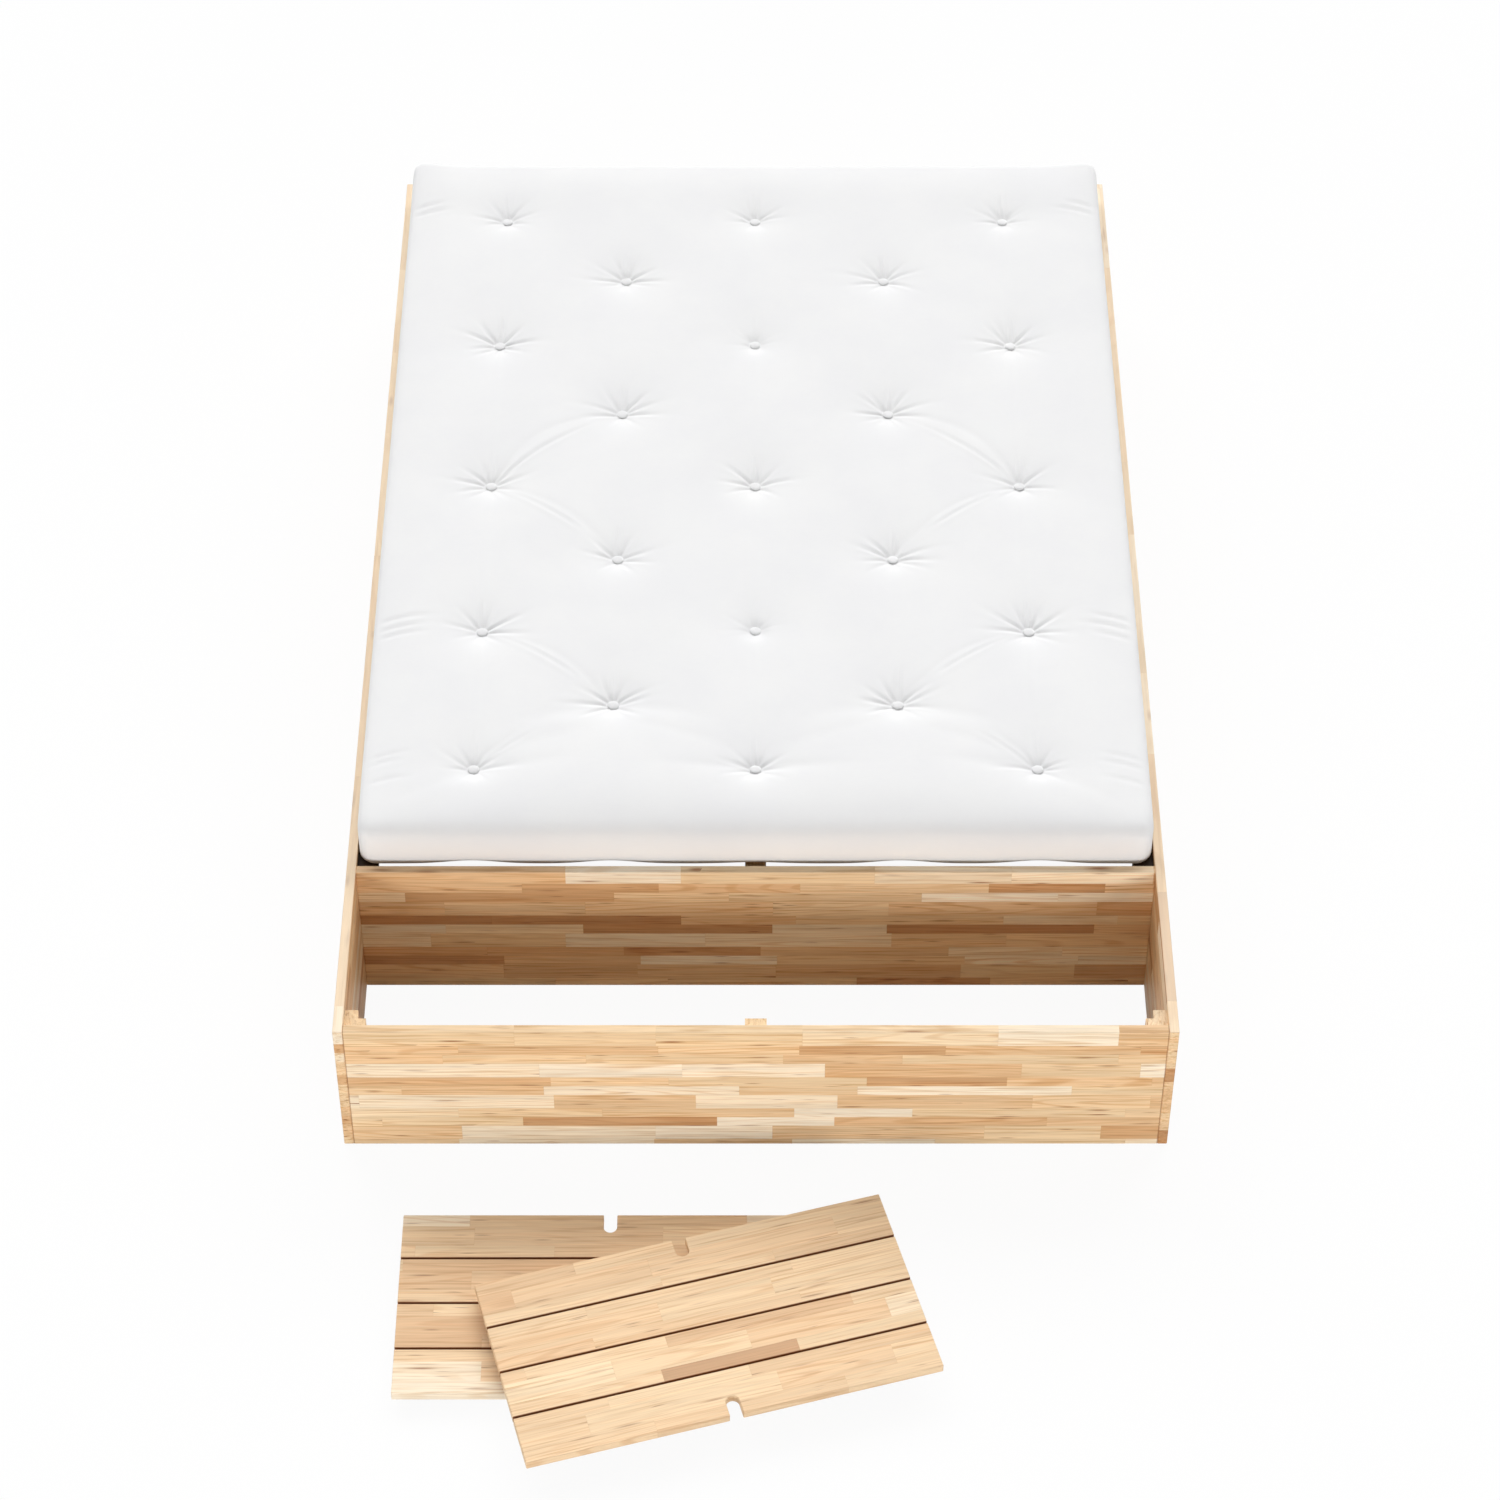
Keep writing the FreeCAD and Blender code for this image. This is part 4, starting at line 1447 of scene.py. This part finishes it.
@dataclass
class TuftButtons:
    """Cloth-covered buttons sewn into the tufts."""

    tufts: list[Tuft]
    sides: int = 20
    profile: tuple[Pair, ...] = (
        (0.0112, 0.0008),
        (0.0116, 0.0016),
        (0.0108, 0.0030),
        (0.0086, 0.0041),
        (0.0054, 0.0047),
        (0.0022, 0.0048),
    )
    foot_radius: float = 0.0094
    sewn_depth: float = 0.0004
    lean: float = 3.0
    lean_swing: float = 2.0
    lean_step: float = 2.3
    turn_step: float = 2.4

    def build(self) -> Piece:
        """Models one button and sews a copy into each tuft.

        Returns:
            All the buttons as one piece, riding on the mattress.
        """
        model = self.model()
        copies = []
        for number, tuft in enumerate(self.tufts):
            copy = add_object("button", model.data.copy())
            angle = math.radians(self.lean + self.lean_swing * math.sin(number * self.lean_step))
            lean = Matrix.Rotation(angle, 4, "X")
            turn = Matrix.Rotation(number * self.turn_step, 4, "Z")
            seat = Matrix.Translation((tuft.x, tuft.y, tuft.seat - self.sewn_depth))
            copy.data.transform(seat @ turn @ lean)
            copies.append(copy)
        bpy.data.objects.remove(model)
        select_only(*copies)
        bpy.ops.object.join()
        buttons = bpy.context.active_object
        buttons.name = "sewn_buttons"
        bpy.ops.object.shade_smooth()
        clothe(buttons, BUTTON_CLOTH)
        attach(buttons, "mattress")
        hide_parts("tuft_buttons")
        return buttons

    def model(self) -> Piece:
        """Models one domed button at the origin.

        Returns:
            The button.
        """
        bpy.ops.object.select_all(action="DESELECT")
        bpy.ops.mesh.primitive_circle_add(vertices=self.sides, radius=self.foot_radius, fill_type="NGON")
        button = bpy.context.active_object
        edit_selected(button, MeshPart.FACE, np.ones(len(button.data.polygons), bool))
        radius, height = self.foot_radius, 0.0
        for next_radius, next_height in self.profile:
            step = (0.0, 0.0, next_height - height)
            bpy.ops.mesh.extrude_region_move(TRANSFORM_OT_translate={"value": step})
            share = next_radius / radius
            bpy.ops.transform.resize(value=(share, share, 1.0), center_override=(0.0, 0.0, next_height))
            radius, height = next_radius, next_height
        bpy.ops.mesh.select_all(action="SELECT")
        bpy.ops.mesh.normals_make_consistent(inside=False)
        bpy.ops.object.mode_set(mode="OBJECT")
        smooth_once(button)
        return button


# The studio
@dataclass(frozen=True)
class Lamp:
    """A large soft lamp: the side it stands on, its height, strength and softness."""

    name: str
    azimuth: float
    elevation: float
    strength: float
    softness: float

    def build(self) -> None:
        """Hangs the lamp."""
        lamp = bpy.data.lights.new(self.name, "SUN")
        lamp.energy = self.strength
        lamp.angle = math.radians(self.softness)
        side, height = math.radians(self.azimuth), math.radians(self.elevation)
        level = math.cos(height)
        away = Vector((math.sin(side) * level, -math.cos(side) * level, math.sin(height)))
        add_object(self.name, lamp).rotation_euler = (-away).to_track_quat("-Z", "Y").to_euler()


@dataclass
class Studio:
    """Pale floor, soft lamps and the camera at the photograph's viewing angle."""

    lamps: tuple[Lamp, ...] = (
        Lamp("front_left", -25.0, 10.0, 0.96, 18.0),
        Lamp("front_right", 25.0, 10.0, 0.96, 18.0),
        Lamp("back_left", -155.0, 38.0, 1.68, 40.0),
        Lamp("back_right", 155.0, 38.0, 1.68, 40.0),
    )
    sky: float = 0.25
    floor_size: float = 40.0
    floor_level: float = -0.0005
    floor_white: float = 0.92
    floor_bounce: float = 0.75
    painted_shade_bounce: float = 0.04
    floor_glow: float = 0.94
    fill_place: Triple = (-0.19, -0.30, 1.25)
    fill_size: Pair = (0.9, 0.3)
    fill_power: float = 0.3
    fill_spread: float = 70.0
    lens: float = 100.868
    sensor: float = 36.0
    view_depth: float = 200.0
    camera_place: Triple = (-0.0107, -4.9469, 6.2780)
    camera_tilt: float = 43.541

    def build(self) -> None:
        """Sets up everything round the bed."""
        self.build_floor()
        self.build_world()
        for lamp in self.lamps:
            lamp.build()
        self.build_fill()
        self.build_camera()
        bpy.context.scene.view_settings.view_transform = "Standard"

    @staticmethod
    def seen(wiring: Wiring) -> Socket:
        """Gives 1 for what is seen directly, in a mirror or through glass, and 0 for light.

        Args:
            wiring: the wiring of the floor's material or the world.

        Returns:
            The output with the number.
        """
        path = wiring.add("ShaderNodeLightPath").outputs
        glossy = wiring.math("MAXIMUM", path["Is Glossy Ray"], path["Is Transmission Ray"])
        return wiring.math("MAXIMUM", path["Is Camera Ray"], glossy)

    def build_floor(self) -> None:
        """Lays a plain pale floor that keeps the shadows."""
        bpy.ops.object.select_all(action="DESELECT")
        bpy.ops.mesh.primitive_plane_add(size=self.floor_size, location=(0.0, 0.0, self.floor_level))
        floor = bpy.context.active_object
        floor.name = "studio_floor"
        bpy.ops.object.transform_apply(location=True, rotation=True, scale=True)
        material = bpy.data.materials.new("pale_floor")
        wiring = Wiring.start(material)
        matt = wiring.add("ShaderNodeBsdfDiffuse", {"Color": self.bounce(wiring)}).outputs[0]
        white = wiring.add("ShaderNodeBsdfDiffuse", {"Color": grey(self.floor_white)}).outputs[0]
        shown = wiring.blend(self.floor_glow, white, wiring.add("ShaderNodeEmission").outputs[0])
        wiring.add("ShaderNodeOutputMaterial", {"Surface": wiring.blend(self.seen(wiring), matt, shown)})
        floor.data.materials.append(material)

    def bounce(self, wiring: Wiring) -> Socket:
        """Works out the colour that the floor lights the bed with, with painted shade: it is dark under the
        bed.

        Args:
            wiring: the wiring of the floor's material.

        Returns:
            The output with the colour.
        """
        across, along, _ = wiring.split(wiring.place())
        side, middle, _ = node_middle("side_board_right")
        along = wiring.math("SUBTRACT", along, middle)
        half_length = node_middle("head_board")[1] - middle
        inside = [
            wiring.math("LESS_THAN", wiring.math("ABSOLUTE", place), half)
            for place, half in ((across, side), (along, half_length))
        ]
        # Painted shade: inside the bed's footprint the floor bounces less light
        shade = wiring.math("MULTIPLY", *inside)
        return wiring.mix(shade, grey(self.floor_bounce), grey(self.painted_shade_bounce))

    def build_fill(self) -> None:
        """Hangs a small soft lamp over the lids, which lie in the shade of the foot board."""
        lamp = bpy.data.lights.new("lid_fill", "AREA")
        lamp.shape = "RECTANGLE"
        lamp.size, lamp.size_y = self.fill_size
        lamp.energy = self.fill_power
        lamp.spread = math.radians(self.fill_spread)
        add_object("lid_fill", lamp).location = self.fill_place

    def build_world(self) -> None:
        """Makes a white world that lights the bed softly."""
        world = bpy.data.worlds.new("white_studio")
        wiring = Wiring.start(world)
        strength = wiring.math("MULTIPLY_ADD", self.seen(wiring), 1.0 - self.sky, self.sky)
        sky = wiring.add("ShaderNodeBackground", {"Color": grey(1.0), "Strength": strength})
        wiring.add("ShaderNodeOutputWorld", {"Surface": sky.outputs[0]})
        bpy.context.scene.world = world

    def build_camera(self) -> None:
        """Places the camera where the photograph was taken from."""
        data = bpy.data.cameras.new("photo_camera")
        data.lens = self.lens
        data.sensor_width = self.sensor
        data.clip_end = self.view_depth
        camera = add_object("photo_camera", data)
        camera.location = self.camera_place
        camera.rotation_euler = (math.radians(self.camera_tilt), 0.0, 0.0)
        bpy.context.scene.camera = camera


def main() -> None:
    """Builds and dresses the bed, its lids and its mattress, and sets up the studio."""
    logging.basicConfig(level=logging.INFO, format="%(name)s: %(message)s")
    BedFrame().dress()
    # The lids' tones are set against their light: the lower lid, partly in the foot board's and upper lid's
    # shadow, is painted paler, and the more brightly lit upper lid darker
    Lid("lower_lid", 61.0, 0.44).dress()
    Lid("upper_lid", 79.0, 0.60).dress()
    tufts = find_tufts()
    Mattress(tufts).build()
    TuftButtons(tufts).build()
    Studio().build()


if __name__ == "__main__":
    main()
